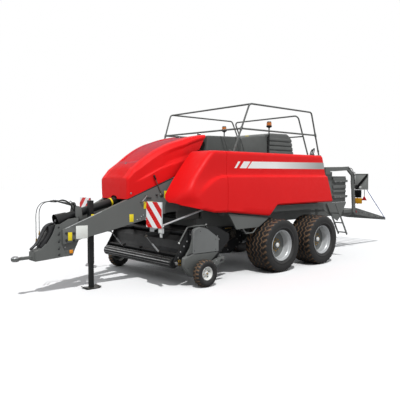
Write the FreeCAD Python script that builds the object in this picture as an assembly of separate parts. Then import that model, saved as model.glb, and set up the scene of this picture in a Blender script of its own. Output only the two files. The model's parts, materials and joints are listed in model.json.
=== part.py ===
"""Large square baler: every piece at its real size, in millimetres.

The sizes are given in a working frame whose X = 0 is the front tandem axle, with +X towards
the drawbar eye, +Y to the machine's left and +Z up from the ground. Each piece is moved by
SHIFT_X when it is written, so that the origin lies under the middle of the whole machine.
"""
import FreeCAD
import Part
import math
import os

V = FreeCAD.Vector

# ---- running gear ----
TYRE_DIAMETER = 1067
TYRE_WIDTH = 550
TYRE_BEAD = 571.5  # seat diameter
RIM_FLANGE = 612  # diameter
BEAD_SHARE = 0.8  # width over the beads, as a share of the tyre's width
WHEELS_OUTER = 1450  # half of the machine's width over its tyres
AXLE_SPACING = 1386
SPINDLE_R = 45
RUNNING_GAP = 0.05  # radial clearance of a spindle in its hub
BOGIE_WIDTH = 90
BOGIE_GAP = 45  # from the bogie beam to the tyre's inner side
PIVOT_TUBE = 150  # square, across the machine
ARCH_GAP = 30  # room kept round the treads
ARCH_SIDE = 5  # and beside the tyre

# ---- bale chamber and frame ----
CHAMBER_WIDTH = 1200
CHAMBER_HEIGHT = 900
CHAMBER_WALL = 25
CHAMBER_FLOOR = 1120  # height of the floor's top side
CHAMBER_FRONT = 1450
DOORS_FRONT = -2950  # where the density doors begin
CHAMBER_REAR = -3560
DOOR_WALL = 30
DOOR_RIB = 60
ROOF_REAR = -2600
RAIL_WIDTH = 100
RAIL_HEIGHT = 180
RAIL_FRONT = 1560
RAIL_REAR = -3450
SILL_WIDTH = 120
SILL_HEIGHT = 120
SILL_OUTER = 1000
SILL_WEB = 15
THROAT = (500, 1250)  # where the feeder enters through the chamber floor
THROAT_EDGE = 60

# ---- drawbar ----
EYE_X = 4790
EYE_Z = 620
EYE_R = 66
EYE_BORE_R = 25
EYE_THICKNESS = 44
EYE_SHANK = 76  # width
EYE_FLANGE = 25
HEAD_FRONT = 4510
HEAD_REAR = 3800
HEAD_WALL = 25
BEAM_FRONT = 4050
BEAM_REAR = 1450
BEAM_BEND = 2000  # behind this the beams run straight
BEAM_TOP_FRONT = 1054  # height of the top edge at the front end
BEAM_TOP_RISE = 0.425  # rise of the top edge for each unit rearwards
BEAM_THICKNESS = 65
BEAM_OUTER_FRONT = 190  # half-width over the beams at the front
BEAM_OUTER_REAR = 620
BEAM_SPREAD_FROM = 4100
BULKHEAD_WALL = 35

# ---- driveline ----
DRIVE_X = 4120  # mouth of the guard cone
DRIVE_Z = 1180
DRIVE_RISE = 0.26  # rise of the shaft for each unit rearwards
DRIVE_TUBE_R = 70
CONE_LENGTH = 190
DRIVE_TUBE_WALL = 5
DRIVE_SHAFT_R = 30
STUB_R = 22.2
CONE_R = 108  # at its mouth
CONE_NECK_R = 84
GEARBOX_SHAFT_R = 45
FLYWHEEL_X = 2440
FLYWHEEL_R = 400
FLYWHEEL_THICKNESS = 120
FLYWHEEL_RING = 60  # width of the heavy rim
FLYWHEEL_BOSS = 160  # radius left standing in the middle

# ---- hydraulic hoses ----
HOSE_R = 6
HOSE_ARC = 0.45  # share of the shorter run that an arc takes
SUPPORT_X = 3780  # rear face of the upright plate that carries the driveline's guard
SUPPORT_THICKNESS = 20
SUPPORT_BOTTOM = 1080
SUPPORT_EYE_R = 82
SUPPORT_EYE_Z = 1395
CLAMP_X = 4170
CLAMP_Z = 1500
HOSES = {
    "upper": [(4170, -15, 1500), (4230, -15, 1500), (4290, -48, 1480), (4325, -95, 1420),
              (4330, -140, 1340), (4322, -165, 1240), (4318, -173, 1125), (4320, -170, 1010)],
    "lower": [(4170, -45, 1500), (4240, -45, 1500), (4310, -84, 1482), (4352, -137, 1418),
              (4362, -186, 1330), (4356, -215, 1225), (4350, -225, 1105), (4353, -222, 985),
              (4350, -224, 880)],
}

# ---- parking jack ----
JACK_X = 3541
JACK_Y = 122
JACK_SIZE = 80
JACK_WALL = 5
JACK_BOTTOM = 420
JACK_TOP = 1500
JACK_CLEARANCE = 0.3
JACK_CAP = 12
JACK_BRACKET = 180  # length of the plate that holds the tube to the left beam
LEG_TOP = 950
FOOT_SIZE = 210
FOOT_THICKNESS = 15

# ---- covers ----
BODY_OUTER = 1270  # half-width over the lower side panels
BAND_INSET = 50  # how far the upper band stands inside them
CREASE_Z = 1914
CREASE_HALF = 24
PANEL_TOP = 2372
PANEL_WALL = 40
DOOR_SEAM = 1380
SEAM_GAP = 10
DOOR_REAR_TOP = -1600
DOOR_REAR_BOTTOM = -2000
NOSE_INNER = 660
DECK_THICKNESS = 30
DECK_HALF = 1150
DECK_REAR = -1700
DECK_FRONT = 1370
TWINE_INNER = 700
TWINE_OUTER = 1150
TWINE_WALL = 20
TWINE_FRONT = 1300
TWINE_REAR = -1580
COVER_HALF = 560
COVER_SPLIT = 300
COVER_FRONT = 1225
COVER_CREST = 2722  # height of both covers where they meet
HOOD_FRONT = 3000
HOOD_WALL = 30
HOOD_HALF_FRONT = 440
HOOD_HALF_REAR = 610
HOOD_OVER_BEAM = 10
HOOD_NOTCH_GAP = 15  # round the driveline, where it leaves under the hood's front
HOOD_HINGE_X = 1262
HOOD_HINGE_Z = 2735
HOOD_HINGES = (-380, 300)

DOOR_HINGES = (-1400, -100, 1200)
DOOR_HINGE_Y = 1166
DOOR_HINGE_Z = 2386
DOOR_KNUCKLE_R = 12
DOOR_PIN_R = 7

# ---- guard rails ----
RAIL_TUBE_R = 17
REAR_BAR_R = 15
RAIL_BEND = 90
RAIL_Y = 1120  # at the feet
RAIL_TOP_Y = 1195
RAIL_TOP_Z = 3290
RAIL_MID_Z = 2810
RAIL_FOOT_FRONT = 1090
RAIL_FOOT_REAR = -1650
RAIL_TOP_FRONT = 735
RAIL_TOP_REAR = -1240
RAIL_SUNK = 20  # the posts are made this much too long and cut flush with the deck
CROSS_BACK = 60  # from the front corners back to the top cross rail
REAR_HOOP_BACK = 40  # from the side hoops back to the rear hoop
REAR_HOOP_DROP = 30
REAR_HOOP_IN = 47  # from a side hoop in to the rear hoop's post
RAIL_GAP_Y = 800  # the rear hoop stops here and leaves the way in

# ---- beacons ----
BEACON_X = -450
BEACON_Y = 680
BEACON_POLE_R = 14
BEACON_R = 62
BEACON_BOTTOM = 2960
BEACON_TOP = 3085

# ---- pick-up ----
PICKUP_PIVOT_X = 1300
PICKUP_PIVOT_Z = 780
PICKUP_PIN_R = 30
PICKUP_PIN_DEPTH = 40  # how far a pivot pin reaches into the feeder housing
FEEDER_HALF = 650
PICKUP_HALF = 1130  # inner face of the side plates
PICKUP_SIDE = 15
PICKUP_COVER = 70
REEL_X = 1900
REEL_Z = 430
REEL_SHAFT_R = 30
REEL_DRUM_R = 70
REEL_DISC_R = 175
REEL_END_GAP = 6
TINE_BARS = 5
TINE_BAR_AT = 160  # from the reel's axis
TINE_BAR_R = 14
ROLLER_X = 2485
ROLLER_Z = 428
ROLLER_R = 95
ROLLER_HALF = 1066
ROLLER_PIN_R = 15
GUARD_PIVOT_X = 2150
GUARD_PIVOT_Z = 915
GUARD_TUBE_R = 40
GUARD_ARM_INNER = 1090
GUARD_ARM_THICKNESS = 20
STRUT_Y = 580
STRUT_TOP = (2720, 870)
HANDLE_Y = 1142
HANDLE_R = 12
HANDLE_BEND = 50
GAUGE_X = 2030
GAUGE_DIAMETER = 476
GAUGE_WIDTH = 160
GAUGE_OUTER = 1442
GAUGE_ARM = 10
ARM_SLOT = (1480, 1530)  # the adjusting slot's two ends
ARM_SLOT_Z = 408
ARM_SLOT_R = 13
ARM_BOSS = (1600, 405)
GAUGE_AXLE_R = 20

# ---- warning boards ----
BOARD_X = 2935
BOARD_THICKNESS = 20
BOARD_INNER = 920
BOARD_OUTER = 1338
BOARD_BOTTOM = 1070
BOARD_TOP = 1494
BOARD_ARM_Y = 1030
BOARD_ARM_Z = 1026  # the arm's front end
BOARD_ARM_REAR_Z = 1441
BOARD_ARM_R = 16
CLIP_HALF = 40
CLIP_BOTTOM = 1000
CLIP_TOP = 1300
MARKER_Y = (1236, 1332)  # the marker lamp under each board
MARKER_BOTTOM = 990
MARKER_TAIL_Y = (1262, 1306)
MARKER_TAIL_BOTTOM = 922
LIGHT_X = (-4020, -3995)
LIGHT_Y = (640, 1015)
LIGHT_Z = (1560, 1980)
LIGHT_STRUT_X = -3790
LIGHT_STRUT_Z = (1600, 1680)

# ---- rear ----
TENSION_OUTER = 740
CHUTE_HINGE_X = -4020
CHUTE_HINGE_Z = 1000
CHUTE_HALF = 620
CHUTE_END = -5700
CHUTE_ROLLER_R = 40
CHUTE_PIN_R = 15
CHUTE_BAR = 40  # thickness of a side bar
CHUTE_ROLLERS = (-4250, -4600, -4950, -5300, -5640)
CHUTE_TOP = (-4050, 1085)  # front end of a side bar's top edge
CHUTE_END_TOP = 735
ROPE_R = 9
ROPE_TOP = (-4009.5, 984.7, 1551.6)
ROPE_END_X = -5630
ROPE_END_Z = 735
SEAT_GAP = 0.3
LADDER_TOP_X = -2130
LADDER_TOP_Z = 1290
LADDER_LENGTH = 900
LADDER_LEAN = 33  # degrees from upright
LADDER_INNER = 1030
LADDER_WIDTH = 240
LADDER_PIN_R = 12
LADDER_PIN_DROP = 30
LADDER_WALL = 12
LADDER_RAIL = 50
LADDER_RUNGS = (280, 560, 840)

# ---- worked out ----
TYRE_R = TYRE_DIAMETER / 2
WHEEL_Y = WHEELS_OUTER - TYRE_WIDTH / 2
CHAMBER_HALF = CHAMBER_WIDTH / 2
CHAMBER_OUTER = CHAMBER_HALF + CHAMBER_WALL
CHAMBER_TOP = CHAMBER_FLOOR + CHAMBER_HEIGHT
FLOOR_BOTTOM = CHAMBER_FLOOR - CHAMBER_WALL
SILL_Z = CHAMBER_FLOOR + 50
DECK_Z = PANEL_TOP - DECK_THICKNESS
BODY_BAND = BODY_OUTER - BAND_INSET
BULKHEAD_OUTER = BEAM_OUTER_REAR - BEAM_THICKNESS
BULKHEAD_INNER = BULKHEAD_OUTER - BULKHEAD_WALL
BEAM_SPREAD = (BEAM_OUTER_REAR - BEAM_OUTER_FRONT) / (BEAM_SPREAD_FROM - BEAM_BEND)
SHIFT_X = -(EYE_X + EYE_R + CHUTE_END - 20) / 2


def box(x, y, z):
    """A block between (low, high) pairs."""
    return Part.makeBox(x[1] - x[0], y[1] - y[0], z[1] - z[0], V(x[0], y[0], z[0]))


def slab(corners, direction):
    """A closed outline of 3-D corners, extruded."""
    face = Part.Face(Part.makePolygon([V(*c) for c in corners + corners[:1]]))
    return face.extrude(V(*direction))


def plate_y(outline, y):
    """An XZ outline between two Y values."""
    return slab([(x, y[0], z) for x, z in outline], (0, y[1] - y[0], 0))


def plate_x(outline, x):
    """A YZ outline between two X values."""
    return slab([(x[0], y, z) for y, z in outline], (x[1] - x[0], 0, 0))


def plate_z(outline, z):
    """An XY outline between two Z values."""
    return slab([(x, y, z[0]) for x, y in outline], (0, 0, z[1] - z[0]))


def rod(start, end, r):
    start = V(*start)
    along = V(*end) - start
    return Part.makeCylinder(r, along.Length, start, along)


def bar_x(x, y, z, r):
    """A round bar along X, between the two values in x."""
    return rod((x[0], y, z), (x[1], y, z), r)


def bar_y(x, y, z, r):
    """A round bar along Y, between the two values in y."""
    return rod((x, y[0], z), (x, y[1], z), r)


def tube(start, end, r, wall):
    return rod(start, end, r).cut(rod(start, end, r - wall))


def flared(start, end, start_r, end_r, wall):
    """A round sleeve whose radius runs evenly from start_r to end_r."""
    a = V(*start)
    axis = V(*end) - a
    outer = Part.makeCone(start_r, end_r, axis.Length, a, axis)
    return outer.cut(Part.makeCone(start_r - wall, end_r - wall, axis.Length, a, axis))


def spun(profile, y0=0):
    """A profile of (radius, y) points turned about the Y axis through X = Z = 0."""
    wire = Part.makePolygon([V(r, y0 + y, 0) for r, y in profile + profile[:1]])
    return Part.Face(wire).revolve(V(0, 0, 0), V(0, 1, 0), 360)


def path_wire(points, bend):
    """Straight runs joined by arcs of radius bend."""
    corners = [V(*p) for p in points]
    edges = []
    at = corners[0]
    for i in range(1, len(corners) - 1):
        back = (corners[i - 1] - corners[i]).normalize()
        on = (corners[i + 1] - corners[i]).normalize()
        half = back.getAngle(on) / 2
        cut = bend / math.tan(half)
        middle = (back + on).normalize()
        centre = corners[i] + middle * (bend / math.sin(half))
        start = corners[i] + back * cut
        end = corners[i] + on * cut
        edges.append(Part.LineSegment(at, start).toShape())
        edges.append(Part.Arc(start, centre - middle * bend, end).toShape())
        at = end
    edges.append(Part.LineSegment(at, corners[-1]).toShape())
    return Part.Wire(edges)


def bent_tube(points, r, bend):
    """A round bar along a path."""
    wire = path_wire(points, bend)
    along = V(*points[1]) - V(*points[0])
    ring = Part.Wire(Part.Circle(V(*points[0]), along, r).toShape())
    return wire.makePipeShell([ring], True, False)


def mirrored(shape):
    return shape.mirror(V(0, 0, 0), V(0, 1, 0))


def both(shape):
    """A left-hand piece and its right-hand twin."""
    return [shape, mirrored(shape)]


def fused(*shapes):
    whole = shapes[0].fuse(list(shapes[1:])) if len(shapes) > 1 else shapes[0]
    return whole.removeSplitter()


def save(node, *shapes):
    """Writes a node, moved so that the machine's middle lies over the origin."""
    whole = Part.makeCompound([s for shape in shapes for s in shape.Solids])
    whole.translate(V(SHIFT_X, 0, 0))
    whole.exportStep(f"parts/{node}.step")


def drive_point(x, off=0):
    """The point of the driveline's axis at x, or off square to it, upwards."""
    lean = math.atan(DRIVE_RISE)
    z = DRIVE_Z + (DRIVE_X - x) * DRIVE_RISE
    return (x + off * math.sin(lean), 0, z + off * math.cos(lean))


def beam_outer(x):
    """Half-width over the drawbar beams at x."""
    return BEAM_OUTER_FRONT + (BEAM_SPREAD_FROM - max(x, BEAM_BEND)) * BEAM_SPREAD


def beam_top(x):
    """Height of the drawbar beams' top edge at x."""
    return BEAM_TOP_FRONT + (BEAM_FRONT - x) * BEAM_TOP_RISE


# ---- running gear ----
def tyre(diameter, width, bead, flange, shoulder, crown):
    """A tyre round the Y axis, its middle at Y = 0."""
    r = diameter / 2
    half = width / 2
    low = bead / 2
    lip = flange / 2
    side = (r + low) / 2
    bead_y = half * BEAD_SHARE
    corners = [
        V(low, -bead_y, 0),
        V(lip, -bead_y, 0),
        V(side, -half, 0),
        V(r - shoulder, -half + shoulder * 0.25, 0),
        V(r - crown, -half + shoulder, 0),
    ]
    other = [V(p.x, -p.y, 0) for p in reversed(corners)]
    bulge = V(lip + (side - lip) * 0.35, -bead_y - (half - bead_y) * 0.75, 0)
    edges = [
        Part.LineSegment(corners[0], corners[1]).toShape(),
        Part.Arc(corners[1], bulge, corners[2]).toShape(),
        Part.LineSegment(corners[2], corners[3]).toShape(),
        Part.LineSegment(corners[3], corners[4]).toShape(),
        Part.Arc(corners[4], V(r, 0, 0), other[0]).toShape(),
        Part.LineSegment(other[0], other[1]).toShape(),
        Part.LineSegment(other[1], other[2]).toShape(),
        Part.Arc(other[2], V(bulge.x, -bulge.y, 0), other[3]).toShape(),
        Part.LineSegment(other[3], other[4]).toShape(),
        Part.LineSegment(other[4], corners[0]).toShape(),
    ]
    return Part.Face(Part.Wire(edges)).revolve(V(0, 0, 0), V(0, 1, 0), 360)


def rim(bead, flange, width, well, hub_r, hub_length, bore_r, dish):
    """A wheel disc and barrel round the Y axis. +Y is the outer side."""
    seat = bead / 2
    half = width * BEAD_SHARE / 2
    inner = seat - well
    profile = [
        (seat, -half),
        (seat, half),
        (flange / 2, half),
        (flange / 2, half + 12),
        (inner, half + 12),
        (inner, dish + 20),
        (hub_r + 45, dish - 30),
        (hub_r + 45, dish - 10),
        (hub_r, dish - 10),
        (hub_r, dish + 40),
        (bore_r, dish + 40),
        (bore_r, dish + 40 - hub_length),
        (hub_r, dish + 40 - hub_length),
        (hub_r, dish - 50),
        (inner, dish),
        (inner, -half - 12),
        (flange / 2, -half - 12),
        (flange / 2, -half),
    ]
    return spun(profile)


def wheel_place(shape, x, y, z):
    """A wheel at its axle: the left one as made, the right one mirrored."""
    placed = shape if y > 0 else mirrored(shape)
    return placed.translated(V(x, y, z))


AXLES = {"front": 0, "rear": -AXLE_SPACING}
SIDES = {"left": 1, "right": -1}
HUB_LENGTH = 230
HUB_R = 85
WHEEL_DISH = 60
BOGIE_OUTER = WHEELS_OUTER - TYRE_WIDTH - BOGIE_GAP
BOGIE_INNER = BOGIE_OUTER - BOGIE_WIDTH
SPINDLE_END = WHEEL_Y + WHEEL_DISH + 25
HUB_BACK = WHEEL_Y + WHEEL_DISH + 40 - HUB_LENGTH


def main_wheels():
    rubber = tyre(TYRE_DIAMETER, TYRE_WIDTH, TYRE_BEAD, RIM_FLANGE, 60, 14)
    disc = rim(TYRE_BEAD, RIM_FLANGE, TYRE_WIDTH, 26, HUB_R, HUB_LENGTH, SPINDLE_R + RUNNING_GAP,
               WHEEL_DISH)
    for axle, x in AXLES.items():
        for side, sign in SIDES.items():
            save(f"tyre_{side}_{axle}", wheel_place(rubber, x, sign * WHEEL_Y, TYRE_R))
            save(f"rim_{side}_{axle}", wheel_place(disc, x, sign * WHEEL_Y, TYRE_R))


def bogies():
    """A walking beam on each side, its spindles, and the tube that both swing on."""
    middle = -AXLE_SPACING / 2
    pivot_z = TYRE_R + 190
    outline = [
        (90, TYRE_R - 70), (90, TYRE_R + 70), (middle + 130, pivot_z + 95),
        (middle - 130, pivot_z + 95), (-AXLE_SPACING - 90, TYRE_R + 70),
        (-AXLE_SPACING - 90, TYRE_R - 70), (middle - 150, pivot_z - 110),
        (middle + 150, pivot_z - 110),
    ]
    beam = plate_y(outline, (BOGIE_INNER, BOGIE_OUTER))
    for x in AXLES.values():
        stub = bar_y(x, (BOGIE_OUTER, SPINDLE_END), TYRE_R, SPINDLE_R)
        collar = bar_y(x, (BOGIE_OUTER, HUB_BACK - 6), TYRE_R, HUB_R)
        beam = fused(beam, stub, collar)
    save("bogie_beams", *both(beam))
    hanger_top = FLOOR_BOTTOM - RAIL_HEIGHT
    half = PIVOT_TUBE / 2
    cross = box((middle - half - 10, middle + half + 10), (-BOGIE_INNER, BOGIE_INNER),
                (pivot_z - half, pivot_z + half))
    leg_y = CHAMBER_HALF - RAIL_WIDTH
    hanger = plate_y(
        [(middle - 300, hanger_top), (middle + 300, hanger_top), (middle + 120, pivot_z + half),
         (middle - 120, pivot_z + half)],
        (leg_y, leg_y + RAIL_WIDTH),
    )
    save("bogie_cross_tube", fused(cross, hanger, mirrored(hanger)))


# ---- frame and chamber ----
def frame():
    rail_y = (CHAMBER_HALF - RAIL_WIDTH, CHAMBER_HALF)
    rail_z = (FLOOR_BOTTOM - RAIL_HEIGHT, FLOOR_BOTTOM)
    rail = box((RAIL_REAR, RAIL_FRONT), rail_y, rail_z)
    horn = plate_y([(RAIL_REAR + 200, rail_z[0]), (RAIL_REAR + 200, rail_z[1]), (RAIL_REAR, rail_z[1] - 40),
                    (-3900, 1050), (CHUTE_HINGE_X - 40, CHUTE_HINGE_Z + 30),
                    (CHUTE_HINGE_X - 40, CHUTE_HINGE_Z - 30), (-3900, 880)], (rail_y[0], CHUTE_HALF - 50))
    pin = bar_y(CHUTE_HINGE_X, (CHUTE_HALF - 50, CHUTE_HALF + 20), CHUTE_HINGE_Z, CHUTE_PIN_R)
    save("frame_rails", *both(fused(rail, horn, pin)))
    members = []
    for x in (RAIL_FRONT - 120, -1900, RAIL_REAR + 40):
        members.append(box((x, x + 80), (-rail_y[0], rail_y[0]), (rail_z[0] + 30, rail_z[1] - 30)))
    plate = box((BEAM_REAR, BEAM_BEND), (BULKHEAD_INNER, BULKHEAD_OUTER), (FLOOR_BOTTOM, 1960))
    save("frame_cross_members", *members, *both(plate))


def wheel_room():
    """The space that the left tyres need, with ARCH_GAP around their treads."""
    inner = WHEELS_OUTER - TYRE_WIDTH - ARCH_SIDE
    rooms = [bar_y(x, (inner, WHEELS_OUTER), TYRE_R, TYRE_R + ARCH_GAP) for x in (0, -AXLE_SPACING)]
    return rooms[0].fuse(rooms[1])


def side_sills():
    """The beam under each twine box, on outriggers from the chamber wall."""
    z = (SILL_Z, SILL_Z + SILL_HEIGHT)
    sill = box((-1970, 1250), (SILL_OUTER - SILL_WIDTH, SILL_OUTER), z)
    for x in (-1900, -1010, -120, 770):
        sill = sill.fuse(box((x, x + 90), (CHAMBER_OUTER, SILL_OUTER - SILL_WIDTH), z))
    web = (SILL_OUTER - SILL_WEB, SILL_OUTER)
    plate = plate_y([(-1970, 1290), (-1970, 1170), (-2630, 838), (-2780, 975), (-2990, 1258), (-2990, 1290)],
                    web)
    arm = box((-2300, -2220), (CHAMBER_OUTER, SILL_OUTER - SILL_WEB), (SILL_Z, SILL_Z + 80))
    side = fused(sill, plate, arm).cut(wheel_room())
    pin_z = LADDER_TOP_Z - LADDER_PIN_DROP
    pin = bar_y(LADDER_TOP_X, (SILL_OUTER, LADDER_INNER + LADDER_WALL), pin_z, LADDER_PIN_R)
    save("side_sills", side.fuse(pin), mirrored(side))


def chamber():
    wall_z = (FLOOR_BOTTOM, CHAMBER_TOP)
    wall = box((DOORS_FRONT, CHAMBER_FRONT), (CHAMBER_HALF, CHAMBER_OUTER), wall_z)
    save("chamber_walls", *both(wall))
    floor = box((CHAMBER_REAR, CHAMBER_FRONT), (-CHAMBER_HALF, CHAMBER_HALF), (FLOOR_BOTTOM, CHAMBER_FLOOR))
    throat_half = CHAMBER_HALF - THROAT_EDGE
    throat = box(THROAT, (-throat_half, throat_half), (FLOOR_BOTTOM - 1, CHAMBER_FLOOR + 1))
    save("chamber_floor", floor.cut(throat))
    roof = box((ROOF_REAR, CHAMBER_FRONT), (-CHAMBER_OUTER, CHAMBER_OUTER),
               (CHAMBER_TOP, CHAMBER_TOP + CHAMBER_WALL))
    save("chamber_roof", roof)
    length = (CHAMBER_REAR, DOORS_FRONT)
    face = CHAMBER_HALF + DOOR_WALL
    door = box(length, (CHAMBER_HALF, face), (CHAMBER_FLOOR + 140, CHAMBER_TOP - 110))
    for z in (CHAMBER_FLOOR + 250, CHAMBER_TOP - 260):
        door = door.fuse(box(length, (face, face + DOOR_RIB), (z, z + DOOR_RIB)))
    save("density_doors", *both(door.removeSplitter()))


def tension_side():
    """One side of the portal that presses the density doors together."""
    return plate_y([(-2500, CHAMBER_TOP - 60), (-2500, CHAMBER_TOP + 90), (-3520, CHAMBER_TOP + 140),
                    (-3780, CHAMBER_TOP - 40), (-3870, CHAMBER_FLOOR), (-3870, FLOOR_BOTTOM - 120),
                    (-3760, FLOOR_BOTTOM - 120), (-3760, CHAMBER_FLOOR + 20), (-3690, CHAMBER_TOP - 90),
                    (-3480, CHAMBER_TOP + 50), (-2700, CHAMBER_TOP + 10), (-2700, CHAMBER_TOP - 60)],
                   (CHAMBER_OUTER + 70, TENSION_OUTER))


def tension_frame():
    foot = box((-3870, -3400), (CHAMBER_HALF, CHAMBER_OUTER + 70), (FLOOR_BOTTOM - 120, FLOOR_BOTTOM - 40))
    root = box((-2600, -2500), (CHAMBER_OUTER, CHAMBER_OUTER + 70), (CHAMBER_TOP - 60, CHAMBER_TOP))
    side = fused(tension_side(), foot, root)
    ties = []
    for x, z in ((-2750, CHAMBER_TOP + 60), (-3450, CHAMBER_TOP + 90)):
        ties.append(box((x, x + 90), (-CHAMBER_OUTER - 80, CHAMBER_OUTER + 80), (z, z + 40)))
    save("tension_frame", fused(side, mirrored(side), *ties))


# ---- drawbar ----
def drawbar():
    side = plate_y(
        [(BEAM_FRONT, beam_top(BEAM_FRONT)), (BEAM_BEND, beam_top(BEAM_BEND)), (BEAM_REAR, 1950),
         (BEAM_REAR, 1300), (2200, 1260), (3330, 978), (3870, 858), (3990, 900)],
        (0, 900),
    )
    outer = [(x, beam_outer(x)) for x in (BEAM_FRONT, BEAM_BEND, BEAM_REAR)]
    inner = [(x, beam_outer(x) - BEAM_THICKNESS) for x in (BEAM_REAR, BEAM_BEND, BEAM_FRONT)]
    beam = side.common(plate_z(outer + inner, (500, 2500)))
    save("drawbar_beams", *both(beam))
    head_half = 100
    flank = [(4170, 1127), (4100, 1130), (3946, 1206), (HEAD_REAR, 1222), (HEAD_REAR, 850),
             (3870, 690), (3900, 605), (HEAD_FRONT, 560), (HEAD_FRONT, 720), (4420, 745)]
    flank = [V(x, -300, z) for x, z in flank]
    notch = Part.Arc(flank[-1], V(4257, -300, 925), flank[0]).toShape()
    flank = Part.Face(Part.Wire(Part.makePolygon(flank).Edges + [notch])).extrude(V(0, 600, 0))
    edge = beam_outer(HEAD_REAR) - BEAM_THICKNESS
    front = beam_outer(BEAM_FRONT) - BEAM_THICKNESS
    plan = [
        (HEAD_FRONT, -head_half), (HEAD_FRONT, head_half), (BEAM_FRONT + 150, front - 6),
        (BEAM_FRONT, front), (HEAD_REAR, edge),
        (HEAD_REAR, -edge), (BEAM_FRONT, -front), (BEAM_FRONT + 150, -front + 6),
    ]
    head = flank.common(plate_z(plan, (400, 1400)))
    core = plate_y([(4330, 640), (4330, 2000), (3700, 2000), (3700, 640)],
                   (-front + HEAD_WALL, front - HEAD_WALL))
    head = head.cut(core)
    save("drawbar_head", head)
    ring = Part.makeCylinder(EYE_R, EYE_THICKNESS, V(EYE_X, 0, EYE_Z - EYE_THICKNESS / 2))
    shank = box((HEAD_FRONT, EYE_X - EYE_BORE_R - 20), (-EYE_SHANK / 2, EYE_SHANK / 2),
                (EYE_Z - EYE_THICKNESS / 2, EYE_Z + EYE_THICKNESS / 2))
    flange = box((HEAD_FRONT, HEAD_FRONT + EYE_FLANGE), (-85, 85), (570, 710))
    bore = Part.makeCylinder(EYE_BORE_R, 200, V(EYE_X, 0, EYE_Z - 100))
    save("drawbar_eye", fused(ring, shank, flange).cut(bore))


def gearbox():
    """The gearbox casing, held between the upright plates."""
    block = box((1650, 2100), (-BULKHEAD_INNER, BULKHEAD_INNER), (1380, 1960))
    nose = rod(drive_point(2150), drive_point(FLYWHEEL_X - 110), 110)
    neck = rod(drive_point(2000), drive_point(2160), 180)
    bore = rod(drive_point(FLYWHEEL_X), drive_point(FLYWHEEL_X - 202), GEARBOX_SHAFT_R + RUNNING_GAP)
    save("main_gearbox", fused(block, neck, nose).cut(bore))


def guard_support():
    """The upright plate between the beams, with a round head, that carries the driveline's guard."""
    x = SUPPORT_X
    gap = beam_outer(x + SUPPORT_THICKNESS) - BEAM_THICKNESS
    neck = SUPPORT_EYE_R - 2
    web = plate_x([(-gap, SUPPORT_BOTTOM), (gap, SUPPORT_BOTTOM), (gap, 1200), (120, 1290),
                   (neck, SUPPORT_EYE_Z - 10), (-neck, SUPPORT_EYE_Z - 10), (-120, 1290), (-gap, 1200)],
                  (x, x + SUPPORT_THICKNESS))
    web = web.fuse(Part.makeCylinder(SUPPORT_EYE_R, SUPPORT_THICKNESS, V(x, 0, SUPPORT_EYE_Z), V(1, 0, 0)))
    return web.cut(rod(drive_point(x + 60), drive_point(x - 60), DRIVE_TUBE_R))


def driveline():
    cone = fused(
        flared(drive_point(DRIVE_X), drive_point(DRIVE_X - CONE_LENGTH), CONE_R, CONE_NECK_R,
               DRIVE_TUBE_WALL),
        tube(drive_point(DRIVE_X - CONE_LENGTH), drive_point(DRIVE_X - CONE_LENGTH - 6), CONE_NECK_R,
             CONE_NECK_R - DRIVE_TUBE_R + DRIVE_TUBE_WALL),
        tube(drive_point(DRIVE_X - CONE_LENGTH), drive_point(FLYWHEEL_X + 180), DRIVE_TUBE_R,
             DRIVE_TUBE_WALL),
    )
    bore_r = DRIVE_TUBE_R - DRIVE_TUBE_WALL
    bearing = tube(drive_point(DRIVE_X - CONE_LENGTH - 20), drive_point(DRIVE_X - CONE_LENGTH - 60), bore_r,
                   bore_r - DRIVE_SHAFT_R - RUNNING_GAP)
    save("drive_guard", fused(cone, guard_support(), bearing))
    shaft = fused(
        rod(drive_point(DRIVE_X + 5), drive_point(DRIVE_X - 90), STUB_R),
        rod(drive_point(DRIVE_X - 85), drive_point(FLYWHEEL_X + 60), DRIVE_SHAFT_R),
    )
    save("drive_shaft", shaft)
    lean = math.cos(math.atan(DRIVE_RISE))
    half = FLYWHEEL_THICKNESS / 2 * lean
    wheel = rod(drive_point(FLYWHEEL_X + half), drive_point(FLYWHEEL_X - half), FLYWHEEL_R)
    hollow = tube(drive_point(FLYWHEEL_X + half + 1), drive_point(FLYWHEEL_X + half - 40),
                  FLYWHEEL_R - FLYWHEEL_RING, FLYWHEEL_R - FLYWHEEL_RING - FLYWHEEL_BOSS)
    hub = rod(drive_point(FLYWHEEL_X + 60), drive_point(FLYWHEEL_X - half), 90)
    stub = rod(drive_point(FLYWHEEL_X), drive_point(FLYWHEEL_X - 200), GEARBOX_SHAFT_R)
    save("flywheel", fused(wheel.cut(hollow), hub, stub).cut(
        rod(drive_point(FLYWHEEL_X + 200), drive_point(FLYWHEEL_X + 60), DRIVE_SHAFT_R)))


def hose_tube(points):
    """A hose along hand-set points, with arcs as large as its runs allow."""
    corners = [V(*p) for p in points]
    edges = []
    at = corners[0]
    for i in range(1, len(corners) - 1):
        back = corners[i - 1] - corners[i]
        on = corners[i + 1] - corners[i]
        cut = HOSE_ARC * min(back.Length, on.Length)
        back.normalize()
        on.normalize()
        half = back.getAngle(on) / 2
        radius = cut * math.tan(half)
        print(f"hose arc {i}: radius {radius:.0f} mm")
        middle = (back + on).normalize()
        centre = corners[i] + middle * (radius / math.sin(half))
        start = corners[i] + back * cut
        end = corners[i] + on * cut
        edges.append(Part.LineSegment(at, start).toShape())
        edges.append(Part.Arc(start, centre - middle * radius, end).toShape())
        at = end
    edges.append(Part.LineSegment(at, corners[-1]).toShape())
    wire = Part.Wire(edges)
    ring = Part.Wire(Part.Circle(corners[0], corners[1] - corners[0], HOSE_R).toShape())
    pipe = wire.makePipeShell([ring], True, False)
    share = pipe.Volume / (math.pi * HOSE_R ** 2 * wire.Length)
    print(f"hose length {wire.Length:.0f} mm, its volume is {share:.4f} of section times length")
    return pipe


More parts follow.
